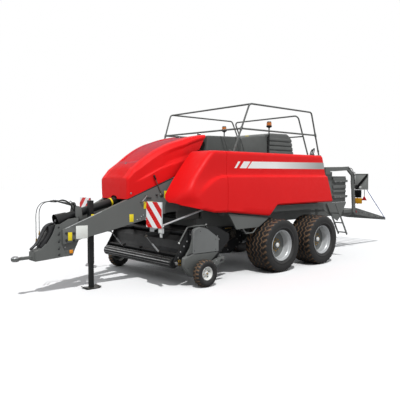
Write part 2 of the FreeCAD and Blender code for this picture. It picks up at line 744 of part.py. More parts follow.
def hoses():
    """Two hydraulic hoses that hang from their clamp on the drawbar, with a coupler on each."""
    couplers = []
    for name, points in HOSES.items():
        save(f"hydraulic_hose_{name}", hose_tube(points))
        end = V(*points[-1])
        along = (end - V(*points[-2])).normalize()
        nut = Part.makeCylinder(11, 30, end, along)
        body = Part.makeCylinder(15, 42, end + along * 30, along)
        tip = Part.makeCylinder(10, 22, end + along * 72, along)
        couplers.append(fused(nut, body, tip))
    save("hose_couplers", *couplers)
    x = CLAMP_X
    block = box((x - 100, x), (-65, 15), (CLAMP_Z - 16, CLAMP_Z + 16))
    foot = SUPPORT_X + SUPPORT_THICKNESS
    arm = plate_y([(foot, SUPPORT_EYE_Z + 10), (foot, SUPPORT_EYE_Z + 60), (x - 90, CLAMP_Z + 8),
                   (x - 90, CLAMP_Z - 12)], (-30, -18))
    save("hose_clamp", fused(block, arm))


def jack():
    half = JACK_SIZE / 2
    hollow = half - JACK_WALL
    low = (JACK_X - half, JACK_Y - half)
    high = (JACK_X + half, JACK_Y + half)
    mast = box((low[0], high[0]), (low[1], high[1]), (JACK_BOTTOM, JACK_TOP))
    bore = box((JACK_X - hollow, JACK_X + hollow), (JACK_Y - hollow, JACK_Y + hollow),
               (0, JACK_TOP - JACK_CAP))
    ahead = JACK_X + JACK_BRACKET / 2
    behind = JACK_X - JACK_BRACKET / 2
    face = plate_y([(behind, 1050), (ahead, 1000), (ahead, beam_top(ahead) - 20),
                    (behind, beam_top(behind) - 20)], (high[1] - 1, 400))
    inside = plate_z([(ahead, 0), (ahead, beam_outer(ahead) - BEAM_THICKNESS),
                      (behind, beam_outer(behind) - BEAM_THICKNESS), (behind, 0)], (0, 3000))
    save("jack_tube", fused(mast, face.common(inside)).cut(bore))
    slim = hollow - JACK_CLEARANCE
    leg = box((JACK_X - slim, JACK_X + slim), (JACK_Y - slim, JACK_Y + slim), (FOOT_THICKNESS, LEG_TOP))
    foot = FOOT_SIZE / 2
    pad = box((JACK_X - foot, JACK_X + foot), (JACK_Y - foot, JACK_Y + foot), (0, FOOT_THICKNESS))
    save("jack_leg", fused(leg, pad))


# ---- covers ----
def above_crease(x):
    """What is cut from a panel's outer face above the crease, so that the band stands further in."""
    past = BODY_OUTER + PANEL_WALL
    top = PANEL_TOP + PANEL_WALL
    return plate_x([(BODY_BAND, CREASE_Z + CREASE_HALF), (BODY_OUTER, CREASE_Z - CREASE_HALF),
                    (past, CREASE_Z - CREASE_HALF), (past, top), (BODY_BAND, top)], x)


def side_doors():
    """Gull-wing panel over each twine box: a lower skin and an upper band set further in."""
    front = DOOR_SEAM - SEAM_GAP / 2
    outline = [
        (front, PANEL_TOP), (front, 1254), (190, 1125), (-50, 1332),
        (DOOR_REAR_BOTTOM, 1336), (DOOR_REAR_TOP, PANEL_TOP),
    ]
    sheet = plate_y(outline, (BODY_BAND - PANEL_WALL, BODY_OUTER))
    upper = above_crease((DOOR_REAR_BOTTOM, DOOR_SEAM))
    inside = BODY_BAND - PANEL_WALL - 1
    skin = BODY_OUTER - PANEL_WALL
    lower = plate_x([(inside, CREASE_Z - CREASE_HALF), (skin, CREASE_Z - 3 * CREASE_HALF), (skin, 1000),
                     (inside, 1000)], (-3000, 3000))
    door = sheet.cut(upper).cut(lower).cut(wheel_room())
    for x in DOOR_HINGES:
        knuckle = bar_x((x + 12, x + 62), DOOR_HINGE_Y, DOOR_HINGE_Z, DOOR_KNUCKLE_R)
        strap = box((x + 12, x + 62), (DOOR_HINGE_Y, BODY_BAND - 5), (PANEL_TOP, PANEL_TOP + 8))
        bore = bar_x((x, x + 80), DOOR_HINGE_Y, DOOR_HINGE_Z, DOOR_PIN_R + RUNNING_GAP)
        door = fused(door, knuckle, strap).cut(bore)
    for side, shape in zip(SIDES, both(door)):
        save(f"side_door_{side}", shape)


def nose_panels():
    """The fixed front corner of each side, with its leaning front face."""
    rear = DOOR_SEAM + SEAM_GAP / 2
    outline = [(rear, 1256), (2350, 1418), (2425, 1460), (1720, PANEL_TOP - 14), (rear, PANEL_TOP)]
    whole = plate_y(outline, (NOSE_INNER, BODY_OUTER))
    upper = above_crease((rear - SEAM_GAP, HOOD_FRONT))
    core = plate_y([(rear - 50, 1100), (2330, 1380), (2360, 1460), (1700, PANEL_TOP - 14 - PANEL_WALL),
                    (rear - 50, PANEL_TOP - PANEL_WALL)], (NOSE_INNER + PANEL_WALL, BODY_BAND - PANEL_WALL))
    bracket = box((TWINE_FRONT, rear + 60), (TWINE_OUTER - 40, TWINE_OUTER), (1450, 2250))
    tab = box((rear + 10, rear + 60), (TWINE_OUTER - 40, BODY_BAND - PANEL_WALL), (1450, 2250))
    shell = fused(whole.cut(upper).cut(core), bracket, tab)
    save("nose_panels", *both(shell))


def twine_boxes():
    """Racks for twine balls behind the side doors, open outwards."""
    floor = SILL_Z + SILL_HEIGHT
    rack = box((TWINE_REAR, TWINE_FRONT), (TWINE_INNER, TWINE_OUTER), (floor, DECK_Z))
    middle = (TWINE_REAR + TWINE_FRONT) / 2
    shelf = (floor + DECK_Z) / 2
    half = TWINE_WALL / 2
    for x in ((TWINE_REAR + TWINE_WALL, middle - half), (middle + half, TWINE_FRONT - TWINE_WALL)):
        for z in ((floor + TWINE_WALL, shelf - half), (shelf + half, DECK_Z - TWINE_WALL)):
            rack = rack.cut(box(x, (TWINE_INNER + TWINE_WALL, TWINE_OUTER + 1), z))
    save("twine_boxes", *both(rack))


def deck_and_covers():
    deck = box((DECK_REAR, DECK_FRONT), (-DECK_HALF, DECK_HALF), (DECK_Z, DECK_Z + DECK_THICKNESS))
    for x in DOOR_HINGES:
        pin = bar_x((x, x + 62), DOOR_HINGE_Y, DOOR_HINGE_Z, DOOR_PIN_R)
        for shape in both(pin):
            deck = deck.fuse(shape)
        lug = box((x, x + 10), (DECK_HALF - 20, DOOR_HINGE_Y + DOOR_KNUCKLE_R),
                  (PANEL_TOP, DOOR_HINGE_Z + DOOR_KNUCKLE_R))
        for shape in both(lug):
            deck = deck.fuse(shape)
    save("service_deck", deck.removeSplitter())
    base = DECK_Z + DECK_THICKNESS
    split = COVER_SPLIT + SEAM_GAP / 2
    front = plate_y([(split, base), (COVER_FRONT, base), (COVER_FRONT, 2700), (split, COVER_CREST)],
                    (-COVER_HALF, COVER_HALF))
    for y in HOOD_HINGES:
        tip = HOOD_HINGE_X + DOOR_KNUCKLE_R
        over = HOOD_HINGE_Z + DOOR_KNUCKLE_R
        lug = plate_y([(HOOD_HINGE_X - 80, 2690), (COVER_FRONT, 2690), (tip, HOOD_HINGE_Z - 8), (tip, over),
                       (HOOD_HINGE_X - 20, over)], (y, y + 10))
        pin = bar_y(HOOD_HINGE_X, (y, y + 72), HOOD_HINGE_Z, DOOR_PIN_R)
        front = front.fuse(lug).fuse(pin)
    save("top_cover_front", front.removeSplitter())
    split = COVER_SPLIT - SEAM_GAP / 2
    rear = plate_y([(split, base), (split, COVER_CREST), (-220, 2790), (-700, 2860), (-1250, 2870),
                    (-1400, 2800), (-1500, base)], (-COVER_HALF, COVER_HALF))
    save("knotter_cover", rear)


HOOD_TOP = [(HOOD_FRONT, 1825), (2965, 1942), (2900, 2022), (2790, 2115), (2590, 2268), (2340, 2425),
            (2070, 2550), (1690, 2660), (HOOD_HINGE_X + 18, 2725)]


def hood():
    """A shell over the driveline, open below and behind."""
    under = [(1440, 2400), (1560, 2345), (2015, 1965), (2080, beam_top(2080) + HOOD_OVER_BEAM),
             (HOOD_FRONT, beam_top(HOOD_FRONT) + HOOD_OVER_BEAM)]
    outer_side = plate_y(HOOD_TOP + under, (-700, 700))

    def plan(inset):
        front = HOOD_FRONT - inset
        points = [(front, HOOD_HALF_FRONT - inset), (1900, HOOD_HALF_REAR - 10 - inset),
                  (1000, HOOD_HALF_REAR - inset)]
        return plate_z(points + [(x, -y) for x, y in reversed(points)], (1000, 3000))

    shell = outer_side.common(plan(0))
    inner_top = [(x - 12, z - HOOD_WALL) for x, z in HOOD_TOP]
    back = HOOD_HINGE_X - 50
    inner_side = inner_top[:-1] + [(back, inner_top[-1][1]), (back, 1200), (HOOD_FRONT - 12, 1200)]
    inner = plate_y(inner_side, (-700, 700)).common(plan(HOOD_WALL))
    shell = shell.cut(inner)
    shell = shell.cut(rod(drive_point(HOOD_FRONT + 50), drive_point(HOOD_FRONT - 80),
                          DRIVE_TUBE_R + HOOD_NOTCH_GAP))
    for y in HOOD_HINGES:
        knuckle = bar_y(HOOD_HINGE_X, (y + 12, y + 72), HOOD_HINGE_Z, DOOR_KNUCKLE_R)
        strap = plate_y([(HOOD_HINGE_X, HOOD_HINGE_Z + 8), (HOOD_HINGE_X, HOOD_HINGE_Z - 8),
                         (HOOD_HINGE_X + 30, 2715), (HOOD_HINGE_X + 60, 2709)], (y + 12, y + 72))
        bore = bar_y(HOOD_HINGE_X, (y, y + 80), HOOD_HINGE_Z, DOOR_PIN_R + RUNNING_GAP)
        shell = fused(shell, knuckle, strap).cut(bore)
    save("hood", shell)


# ---- guard rails ----
def rail_post(foot, top, z):
    """Where a leaning post stands at a height: foot and top are (x, y) at the deck and the top rail."""
    base = DECK_Z + DECK_THICKNESS
    share = (z - base) / (RAIL_TOP_Z - base)
    return (foot[0] + (top[0] - foot[0]) * share, foot[1] + (top[1] - foot[1]) * share, z)


def guard_rails():
    base = DECK_Z + DECK_THICKNESS
    below = box((-3000, 3000), (-2000, 2000), (base - 200, base))
    front = ((RAIL_FOOT_FRONT, RAIL_Y), (RAIL_TOP_FRONT, RAIL_TOP_Y))
    rear = ((RAIL_FOOT_REAR, RAIL_Y), (RAIL_TOP_REAR, RAIL_TOP_Y))
    hoop = [rail_post(*front, base - RAIL_SUNK), (*front[1], RAIL_TOP_Z), (*rear[1], RAIL_TOP_Z),
            rail_post(*rear, base - RAIL_SUNK)]
    middle = rod(rail_post(*front, RAIL_MID_Z), rail_post(*rear, RAIL_MID_Z), RAIL_TUBE_R)
    rail = fused(bent_tube(hoop, RAIL_TUBE_R, RAIL_BEND), middle).cut(below)
    save("guard_rails_sides", *both(rail))
    spans = []
    for x, y, z in ((RAIL_TOP_FRONT - CROSS_BACK, RAIL_TOP_Y, RAIL_TOP_Z), rail_post(*front, RAIL_MID_Z)):
        bar = bar_y(x, (-y, y), z, RAIL_TUBE_R).cut(rail).cut(mirrored(rail))
        spans.append(max(bar.Solids, key=lambda s: s.Volume))
    foot_x = RAIL_FOOT_REAR - REAR_HOOP_BACK
    top_x = RAIL_TOP_REAR - REAR_HOOP_BACK
    near = ((foot_x, RAIL_GAP_Y), (top_x, RAIL_GAP_Y))
    far = ((foot_x, -RAIL_Y + REAR_HOOP_IN), (top_x, -RAIL_TOP_Y + REAR_HOOP_IN))
    top_z = RAIL_TOP_Z - REAR_HOOP_DROP
    hoop = [rail_post(*near, base - RAIL_SUNK), rail_post(*near, top_z), rail_post(*far, top_z),
            rail_post(*far, base - RAIL_SUNK)]
    bar = rod(rail_post(*near, RAIL_MID_Z), rail_post(*far, RAIL_MID_Z), REAR_BAR_R)
    save("guard_rails_ends", *spans, fused(bent_tube(hoop, RAIL_TUBE_R, RAIL_BEND), bar).cut(below))


def beacons():
    foot = DECK_Z + DECK_THICKNESS
    pole = rod((BEACON_X, BEACON_Y, foot), (BEACON_X, BEACON_Y, BEACON_BOTTOM), BEACON_POLE_R)
    lamp = rod((BEACON_X, BEACON_Y, BEACON_BOTTOM), (BEACON_X, BEACON_Y, BEACON_TOP), BEACON_R)
    save("beacons", *both(fused(pole, lamp)))


# ---- pick-up ----
def pickup():
    side = plate_y(
        [(1230, 720), (1230, 840), (1560, 1000), (1960, 1000), (2200, 970), (2200, 860), (2160, 600),
         (2240, 330), (2050, 200), (1700, 260), (1420, 560)],
        (PICKUP_HALF, PICKUP_HALF + PICKUP_SIDE),
    )
    back = box((1480, 1570), (-PICKUP_HALF, PICKUP_HALF), (700, 790))
    sheet = plate_y([(1555, 790), (1570, 790), (1570, 480), (1690, 300), (1675, 290), (1555, 475)],
                    (-PICKUP_HALF, PICKUP_HALF))
    arm = box((PICKUP_PIVOT_X - 60, 1500), (690, 715), (PICKUP_PIVOT_Z - 50, PICKUP_PIVOT_Z + 50))
    pin = bar_y(PICKUP_PIVOT_X, (700, FEEDER_HALF - PICKUP_PIN_DEPTH), PICKUP_PIVOT_Z, PICKUP_PIN_R)
    arm = arm.fuse(pin)
    cross = bar_y(GUARD_PIVOT_X, (-PICKUP_HALF, PICKUP_HALF), GUARD_PIVOT_Z, GUARD_TUBE_R)
    boom = box((GUARD_PIVOT_X, STRUT_TOP[0] + 20), (STRUT_Y - 15, STRUT_Y + 15),
               (STRUT_TOP[1], STRUT_TOP[1] + 50))
    handle = bent_tube([(1800, HANDLE_Y, 990), (1830, HANDLE_Y, 1040), (2240, HANDLE_Y, 1040),
                        (2430, HANDLE_Y, 780)], HANDLE_R, HANDLE_BEND)
    whole = fused(*both(side), back, sheet, *both(arm), cross, *both(boom), *both(handle))
    face = PICKUP_HALF + PICKUP_SIDE
    whole = whole.cut(bar_y(REEL_X, (-face, face), REEL_Z, REEL_SHAFT_R + RUNNING_GAP))
    save("pickup_frame", whole)
    outline = [(1957, 1020), (1589, 814), (1618, 557), (1700, 500), (2273, 175), (2440, 417), (2247, 602)]
    cover = plate_y(outline, (face, face + PICKUP_COVER))
    save("pickup_side_covers", *both(cover))
    reel_half = PICKUP_HALF - REEL_END_GAP
    reel = bar_y(REEL_X, (-reel_half, reel_half), REEL_Z, REEL_DRUM_R)
    for y in (-1100, -550, 0, 550, 1085):
        reel = reel.fuse(bar_y(REEL_X, (y, y + 15), REEL_Z, REEL_DISC_R))
    for i in range(TINE_BARS):
        angle = math.radians(360 / TINE_BARS * i + 18)
        x = REEL_X + TINE_BAR_AT * math.cos(angle)
        z = REEL_Z + TINE_BAR_AT * math.sin(angle)
        reel = reel.fuse(bar_y(x, (-reel_half, reel_half), z, TINE_BAR_R))
    reach = face - 0.5
    reel = reel.fuse(bar_y(REEL_X, (-reach, reach), REEL_Z, REEL_SHAFT_R))
    save("pickup_reel", reel.removeSplitter())
    plate_face = face + PICKUP_COVER
    axle_z = GAUGE_DIAMETER / 2
    arm = plate_y([(1745, 405), (1500, 472), (1428, 401), (1646, 301), (GAUGE_X + 40, axle_z - 45),
                   (GAUGE_X + 40, axle_z + 45)], (plate_face, plate_face + GAUGE_ARM))
    through = (plate_face, plate_face + GAUGE_ARM)
    for x in ARM_SLOT:
        arm = arm.cut(bar_y(x, through, ARM_SLOT_Z, ARM_SLOT_R))
    arm = arm.cut(box(ARM_SLOT, through, (ARM_SLOT_Z - ARM_SLOT_R, ARM_SLOT_Z + ARM_SLOT_R)))
    axle = bar_y(GAUGE_X, (plate_face, GAUGE_OUTER - 30), axle_z, GAUGE_AXLE_R)
    boss = bar_y(ARM_BOSS[0], (face, plate_face), ARM_BOSS[1], 25)
    save("gauge_arms", *both(fused(arm, axle, boss)))
    rubber = tyre(GAUGE_DIAMETER, GAUGE_WIDTH, 210, 236, 28, 8)
    disc = rim(210, 236, GAUGE_WIDTH, 12, 42, 110, GAUGE_AXLE_R + RUNNING_GAP, 10)
    y = GAUGE_OUTER - GAUGE_WIDTH / 2
    for side_name, sign in SIDES.items():
        save(f"gauge_tyre_{side_name}", wheel_place(rubber, GAUGE_X, sign * y, axle_z))
        save(f"gauge_rim_{side_name}", wheel_place(disc, GAUGE_X, sign * y, axle_z))


def windguard():
    """Arms that swing on the pick-up's cross tube and carry the deflector and the crop roller."""
    arm_y = (GUARD_ARM_INNER, GUARD_ARM_INNER + GUARD_ARM_THICKNESS)
    arm = plate_y([(GUARD_PIVOT_X - 50, GUARD_PIVOT_Z + 62), (GUARD_PIVOT_X + 70, GUARD_PIVOT_Z + 62),
                   (ROLLER_X - 60, ROLLER_Z + 190), (ROLLER_X + 45, ROLLER_Z + 30),
                   (ROLLER_X + 45, ROLLER_Z - 45), (ROLLER_X - 50, ROLLER_Z - 45),
                   (GUARD_PIVOT_X + 20, ROLLER_Z + 260), (GUARD_PIVOT_X - 62, GUARD_PIVOT_Z - 50)], arm_y)
    sheet = plate_y([(GUARD_PIVOT_X + 30, GUARD_PIVOT_Z - 62), (GUARD_PIVOT_X + 36, GUARD_PIVOT_Z - 72),
                     (ROLLER_X - 190, ROLLER_Z + 200), (ROLLER_X - 110, ROLLER_Z + 90),
                     (ROLLER_X - 104, ROLLER_Z + 98), (ROLLER_X - 184, ROLLER_Z + 210),
                     (GUARD_PIVOT_X + 120, GUARD_PIVOT_Z - 140)],
                    (-GUARD_ARM_INNER, GUARD_ARM_INNER))
    bar = bar_y(ROLLER_X - 70, (-GUARD_ARM_INNER, GUARD_ARM_INNER), ROLLER_Z + 130, 22)
    frame = fused(arm, mirrored(arm), bar, sheet)
    for x, z, r in ((ROLLER_X, ROLLER_Z, ROLLER_PIN_R), (GUARD_PIVOT_X, GUARD_PIVOT_Z, GUARD_TUBE_R)):
        frame = frame.cut(bar_y(x, (-arm_y[1] - 1, arm_y[1] + 1), z, r + RUNNING_GAP))
    save("windguard_frame", frame)
    barrel = bar_y(ROLLER_X, (-ROLLER_HALF, ROLLER_HALF), ROLLER_Z, ROLLER_R)
    axle = bar_y(ROLLER_X, (-arm_y[1], arm_y[1]), ROLLER_Z, ROLLER_PIN_R)
    save("crop_roller", fused(barrel, axle))


def feeder():
    """The packer housing between the pick-up and the chamber."""
    under_rails = FLOOR_BOTTOM - RAIL_HEIGHT
    outline = [(1340, under_rails), (420, under_rails), (330, 560), (700, 370), (1180, 400), (1380, 640),
               (1400, 780)]
    bore = bar_y(PICKUP_PIVOT_X, (FEEDER_HALF - PICKUP_PIN_DEPTH - 1, FEEDER_HALF + 1), PICKUP_PIVOT_Z,
                 PICKUP_PIN_R + RUNNING_GAP)
    save("feeder_housing", plate_y(outline, (-FEEDER_HALF, FEEDER_HALF)).cut(bore).cut(mirrored(bore)))


def lower_shields():
    outline = [(1308, 1220), (181, 1081), (480, 921), (1100, 916)]
    shield = plate_y(outline, (1185, 1215))
    arm = box((700, 780), (SILL_OUTER, 1185), (SILL_Z - 120, SILL_Z - 60))
    hang = box((700, 780), (SILL_OUTER - 60, SILL_OUTER), (SILL_Z - 120, SILL_Z))
    step = bent_tube([(925, 1200, 925), (830, 1200, 820), (630, 1200, 820), (505, 1200, 930)], 12, 40)
    save("lower_shields", *both(fused(shield, arm, hang, step).cut(wheel_room())))


# ---- rear ----
def chute():
    bar = plate_y([CHUTE_TOP, (CHUTE_END, CHUTE_END_TOP), (CHUTE_END - 20, 660), (-4080, 900), (-3990, 960),
                   (-3990, 1060)], (CHUTE_HALF - CHUTE_BAR, CHUTE_HALF))
    parts = [bar, mirrored(bar)]
    fall = (CHUTE_END_TOP - CHUTE_TOP[1]) / (CHUTE_END - CHUTE_TOP[0])
    inner = CHUTE_HALF - CHUTE_BAR
    for x in CHUTE_ROLLERS:
        z = CHUTE_TOP[1] + (x - CHUTE_TOP[0]) * fall - CHUTE_ROLLER_R
        parts.append(bar_y(x, (-inner, inner), z, CHUTE_ROLLER_R))
    bore = bar_y(CHUTE_HINGE_X, (-CHUTE_HALF, CHUTE_HALF), CHUTE_HINGE_Z, CHUTE_PIN_R + RUNNING_GAP)
    save("chute_frame", fused(*parts).cut(bore))


def chute_rope():
    """The rope that folds the chute, from the left light board down to the chute's end."""
    end = (ROPE_END_X, CHUTE_HALF + ROPE_R + SEAT_GAP, ROPE_END_Z)
    save("chute_rope", rod(ROPE_TOP, end, ROPE_R))


def ladder():
    lean = math.radians(LADDER_LEAN)
    down = (-math.sin(lean), -math.cos(lean))
    across = (math.cos(lean), -math.sin(lean))

    def at(length, off):
        return (LADDER_TOP_X + down[0] * length + across[0] * off,
                LADDER_TOP_Z + down[1] * length + across[1] * off)

    half = LADDER_RAIL / 2
    rail = plate_y([at(0, half), at(LADDER_LENGTH, half), at(LADDER_LENGTH, -half), at(0, -half)],
                   (LADDER_INNER, LADDER_INNER + LADDER_WALL))
    outer = rail.translated(V(0, LADDER_WIDTH - LADDER_WALL, 0))
    rungs = []
    for length in LADDER_RUNGS:
        x, z = at(length, 0)
        across_both = (LADDER_INNER, LADDER_INNER + LADDER_WIDTH)
        rungs.append(box((x - half, x + half), across_both, (z - 12, z + 12)))
    pin_z = LADDER_TOP_Z - LADDER_PIN_DROP
    bore = bar_y(LADDER_TOP_X, (LADDER_INNER - 1, LADDER_INNER + LADDER_WALL + 1), pin_z,
                 LADDER_PIN_R + RUNNING_GAP)
    save("ladder", fused(rail, outer, *rungs).cut(bore))


def boards():
    board = box((BOARD_X, BOARD_X + BOARD_THICKNESS), (BOARD_INNER, BOARD_OUTER), (BOARD_BOTTOM, BOARD_TOP))
    arm = rod((TWINE_FRONT - 60, BOARD_ARM_Y, BOARD_ARM_REAR_Z), (BOARD_X - 10, BOARD_ARM_Y, BOARD_ARM_Z),
              BOARD_ARM_R)
    arm = arm.cut(box((0, TWINE_FRONT), (0, 2000), (0, 3000)))
    clip = box((BOARD_X - 30, BOARD_X), (BOARD_ARM_Y - CLIP_HALF, BOARD_ARM_Y + CLIP_HALF),
               (CLIP_BOTTOM, CLIP_TOP))
    marker = box((BOARD_X - 30, BOARD_X + 10), MARKER_Y, (MARKER_BOTTOM, BOARD_BOTTOM))
    tail = box((BOARD_X - 20, BOARD_X), MARKER_TAIL_Y, (MARKER_TAIL_BOTTOM, MARKER_BOTTOM))
    save("front_warning_boards", *both(fused(board, arm, clip, marker, tail)))
    lights = box(LIGHT_X, LIGHT_Y, LIGHT_Z)
    strut = box((LIGHT_X[1], LIGHT_STRUT_X), (TENSION_OUTER - 50, TENSION_OUTER), LIGHT_STRUT_Z)
    strut = strut.cut(tension_side())
    save("rear_light_boards", *both(fused(lights, strut)))


def main():
    os.makedirs("parts", exist_ok=True)
    main_wheels()
    bogies()
    frame()
    side_sills()
    chamber()
    tension_frame()
    drawbar()
    gearbox()
    driveline()
    hoses()
    jack()
    side_doors()
    nose_panels()
    twine_boxes()
    deck_and_covers()
    hood()
    guard_rails()
    beacons()
    pickup()
    windguard()
    feeder()
    lower_shields()
    chute()
    chute_rope()
    ladder()
    boards()


main()
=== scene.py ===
# %% [markdown]
# # A large square baler
# The machine comes from CAD as a fixed frame: bodies that move on joints, and nodes that ride on
# them. This lesson gives the nodes their finishes and builds the shapes that a maker presses,
# moulds, rolls or braids instead of cutting from plate. The frame is loaded first. Nothing that
# is added may stand outside it.

# %% Load the frame
import json
import math

import bmesh
import bpy
from mathutils import Matrix, Vector

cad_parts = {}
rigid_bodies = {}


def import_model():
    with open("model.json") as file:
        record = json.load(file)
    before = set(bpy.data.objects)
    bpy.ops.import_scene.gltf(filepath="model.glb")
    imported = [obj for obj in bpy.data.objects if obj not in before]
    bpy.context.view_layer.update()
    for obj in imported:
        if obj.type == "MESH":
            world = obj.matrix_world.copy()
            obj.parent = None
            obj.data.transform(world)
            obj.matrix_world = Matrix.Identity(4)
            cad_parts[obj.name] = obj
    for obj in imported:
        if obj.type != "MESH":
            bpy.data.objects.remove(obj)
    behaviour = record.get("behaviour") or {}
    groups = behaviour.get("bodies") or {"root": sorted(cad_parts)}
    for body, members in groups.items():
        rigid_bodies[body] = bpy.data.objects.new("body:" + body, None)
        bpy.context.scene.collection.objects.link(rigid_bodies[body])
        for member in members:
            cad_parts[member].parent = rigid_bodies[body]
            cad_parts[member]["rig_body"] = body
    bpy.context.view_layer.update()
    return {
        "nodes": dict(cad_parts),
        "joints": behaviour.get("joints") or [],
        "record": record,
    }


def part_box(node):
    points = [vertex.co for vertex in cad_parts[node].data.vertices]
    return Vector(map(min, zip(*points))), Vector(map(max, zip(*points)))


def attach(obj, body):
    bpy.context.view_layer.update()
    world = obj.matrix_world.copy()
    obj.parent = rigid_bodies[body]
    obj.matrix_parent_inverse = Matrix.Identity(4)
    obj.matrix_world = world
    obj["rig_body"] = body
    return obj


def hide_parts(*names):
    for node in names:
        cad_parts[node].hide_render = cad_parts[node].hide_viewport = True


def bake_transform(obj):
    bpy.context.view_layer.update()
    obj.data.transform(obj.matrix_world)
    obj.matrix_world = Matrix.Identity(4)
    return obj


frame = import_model()
joints = {joint["name"]: joint for joint in frame["joints"]}
slots = {part["node"]: part["material_slot"] for part in frame["record"]["subparts"]}
body_of = {node: body for body, nodes in frame["record"]["behaviour"]["bodies"].items() for node in nodes}

# %% [markdown]
# A maker's drawing of this machine measures from the ground under the front axle of the tandem, in
# millimetres: x towards the drawbar eye, y to the machine's left and z up. The same is handy here,
# so one function turns such a place into the frame's metres. The axle's joint says where x is zero.

# %% Places in millimetres
AXLE_X = joints["wheel_left_front_spin"]["pos_m"][0]
SIDES = {"left": 1, "right": -1}


def at(x, y, z):
    """A place in millimetres from the ground under the front axle, in the frame's metres."""
    return Vector((AXLE_X + x / 1000, y / 1000, z / 1000))


def corners(node):
    """The low and high corner of a node, in millimetres from the front axle."""
    low, high = (Vector(corner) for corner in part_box(node))
    shift = Vector((AXLE_X, 0, 0))
    return (low - shift) * 1000, (high - shift) * 1000


def middle_of(node):
    """The middle of a node's box, in the same millimetres."""
    low, high = corners(node)
    return (low + high) / 2


print("the front axle stands at x =", AXLE_X, "m in the frame")

# %% [markdown]
# ## Camera and light
# The camera stands to the left of the drawbar at standing eye height, with a short telephoto lens.
# A sky of even light and one high sun from the front left show the colours about as they are
# written. The white surround is only for the rays of the camera and of reflections, so it adds no
# light to the object, and the floor keeps the machine's shadow.

# %% Camera
scene = bpy.context.scene
camera = bpy.data.objects.new("camera", bpy.data.cameras.new("camera"))
scene.collection.objects.link(camera)
camera.data.lens = 44.33
camera.data.sensor_width = 36
camera.data.shift_x = 0.0015
camera.data.clip_end = 200
camera.location = at(7744, 7564, 1904)
camera.rotation_euler = (math.radians(87.275), 0, math.radians(138.04))
scene.camera = camera
print("the lens is", round(camera.data.lens, 2), "mm long")


# %% Helpers for colours and nodes
def linear(code):
    """An sRGB hex colour as the linear values that shaders take."""
    parts = [int(code[i:i + 2], 16) / 255 for i in (1, 3, 5)]
    return [p / 12.92 if p <= 0.04045 else ((p + 0.055) / 1.055) ** 2.4 for p in parts] + [1]


def add(tree, kind, inputs=None, **settings):
    """Adds a node. Each input is a number, a hex colour, an output, or a node whose first output feeds it."""
    node = tree.nodes.new("ShaderNode" + kind)
    for key, value in settings.items():
        setattr(node, key, value)
    for socket, value in (inputs or {}).items():
        if isinstance(value, bpy.types.Node):
            value = next(output for output in value.outputs if output.enabled)
        if isinstance(value, bpy.types.NodeSocket):
            tree.links.new(value, node.inputs[socket])
        else:
            node.inputs[socket].default_value = linear(value) if isinstance(value, str) else value
    return node


def per_metre(mm):
    """The scale of a pattern whose features are this many millimetres apart."""
    return 1000 / mm


def finish(name):
    """An empty material, its tree, and its Object coordinates."""
    material = bpy.data.materials.new(name)
    material.use_nodes = True
    material.node_tree.nodes.clear()
    return material, material.node_tree, add(material.node_tree, "TexCoord").outputs["Object"]


print("middle grey as shaders take it:", round(linear("#808080")[0], 3))

# %% World and sun
scene.view_settings.view_transform = "Standard"
scene.world = bpy.data.worlds.new("white_surround")
scene.world.use_nodes = True
tree = scene.world.node_tree
tree.nodes.clear()
rays = add(tree, "LightPath").outputs
seen = add(tree, "Math", {0: rays["Is Camera Ray"], 1: rays["Is Glossy Ray"]}, operation="MAXIMUM")
seen = add(tree, "Math", {0: seen, 1: rays["Is Transmission Ray"]}, operation="MAXIMUM")
# The even light is strong near the horizon and weak overhead, as under a bright haze, so it fills the
# sides and leaves the shadow on the floor deep.
direction = add(tree, "TexCoord").outputs["Generated"]
height = add(tree, "SeparateXYZ", {0: direction}).outputs["Z"]
haze = add(tree, "MapRange", {0: height, 1: 0.0, 2: 1.0, 3: 1.3, 4: 0.14})
sky = add(tree, "Background", {"Color": "#F2F5F8", "Strength": haze})
white = add(tree, "Background", {"Color": "#FFFFFF", "Strength": 1.0})
add(tree, "OutputWorld", {"Surface": add(tree, "MixShader", {0: seen, 1: sky, 2: white})})

sun = bpy.data.objects.new("sun", bpy.data.lights.new("sun", "SUN"))
scene.collection.objects.link(sun)
sun.data.energy = 2.5
sun.data.angle = math.radians(0.6)
sun.rotation_euler = Vector((0.37, 0.50, 1)).to_track_quat("Z", "Y").to_euler()
print("the sun's strength is", sun.data.energy)

# %% Floor
floor_shape = bmesh.new()
bmesh.ops.create_grid(floor_shape, x_segments=1, y_segments=1, size=60)
floor = bpy.data.objects.new("floor", bpy.data.meshes.new("floor"))
floor_shape.to_mesh(floor.data)
floor_shape.free()
scene.collection.objects.link(floor)
pale = bpy.data.materials.new("pale_floor")
pale.use_nodes = True
tree = pale.node_tree
tree.nodes.clear()
# Light that comes up from the floor is kept low, as from a dark yard, so that the undersides stay dark.
seen = add(tree, "LightPath").outputs["Is Camera Ray"]
tone = add(tree, "Mix", {0: seen, 6: "#8C8C8C", 7: "#FAFAFA"}, data_type="RGBA")
# Where the machine stands close over it, the floor is painted darker: painted shade under the machine.
under = add(tree, "AmbientOcclusion", {"Color": tone, "Distance": 1.3}, samples=8).outputs["AO"]
open_sky = add(tree, "MapRange", {0: under, 1: 0.0, 2: 0.38, 3: 0.0, 4: 1.0})
painted_floor_shade = add(tree, "Mix", {0: open_sky, 6: "#4A4845", 7: tone}, data_type="RGBA")
matt = add(tree, "BsdfPrincipled", {"Base Color": painted_floor_shade, "Roughness": 0.9, "Specular IOR Level": 0.1})
add(tree, "OutputMaterial", {"Surface": matt})
floor.data.materials.append(pale)
print("camera, sun, sky and floor are set")

# %% [markdown]
# ## Finishes
# Almost everything outside is enamel over steel or moulded plastic. Enamel is a clear, hard film
# with a fine ripple called orange peel. Satin frame enamel is duller, dusty on what lies flat, and
# rubbed thin on edges. All of it is drawn with noise on Object coordinates, whose scale comes from a
# real size in millimetres.


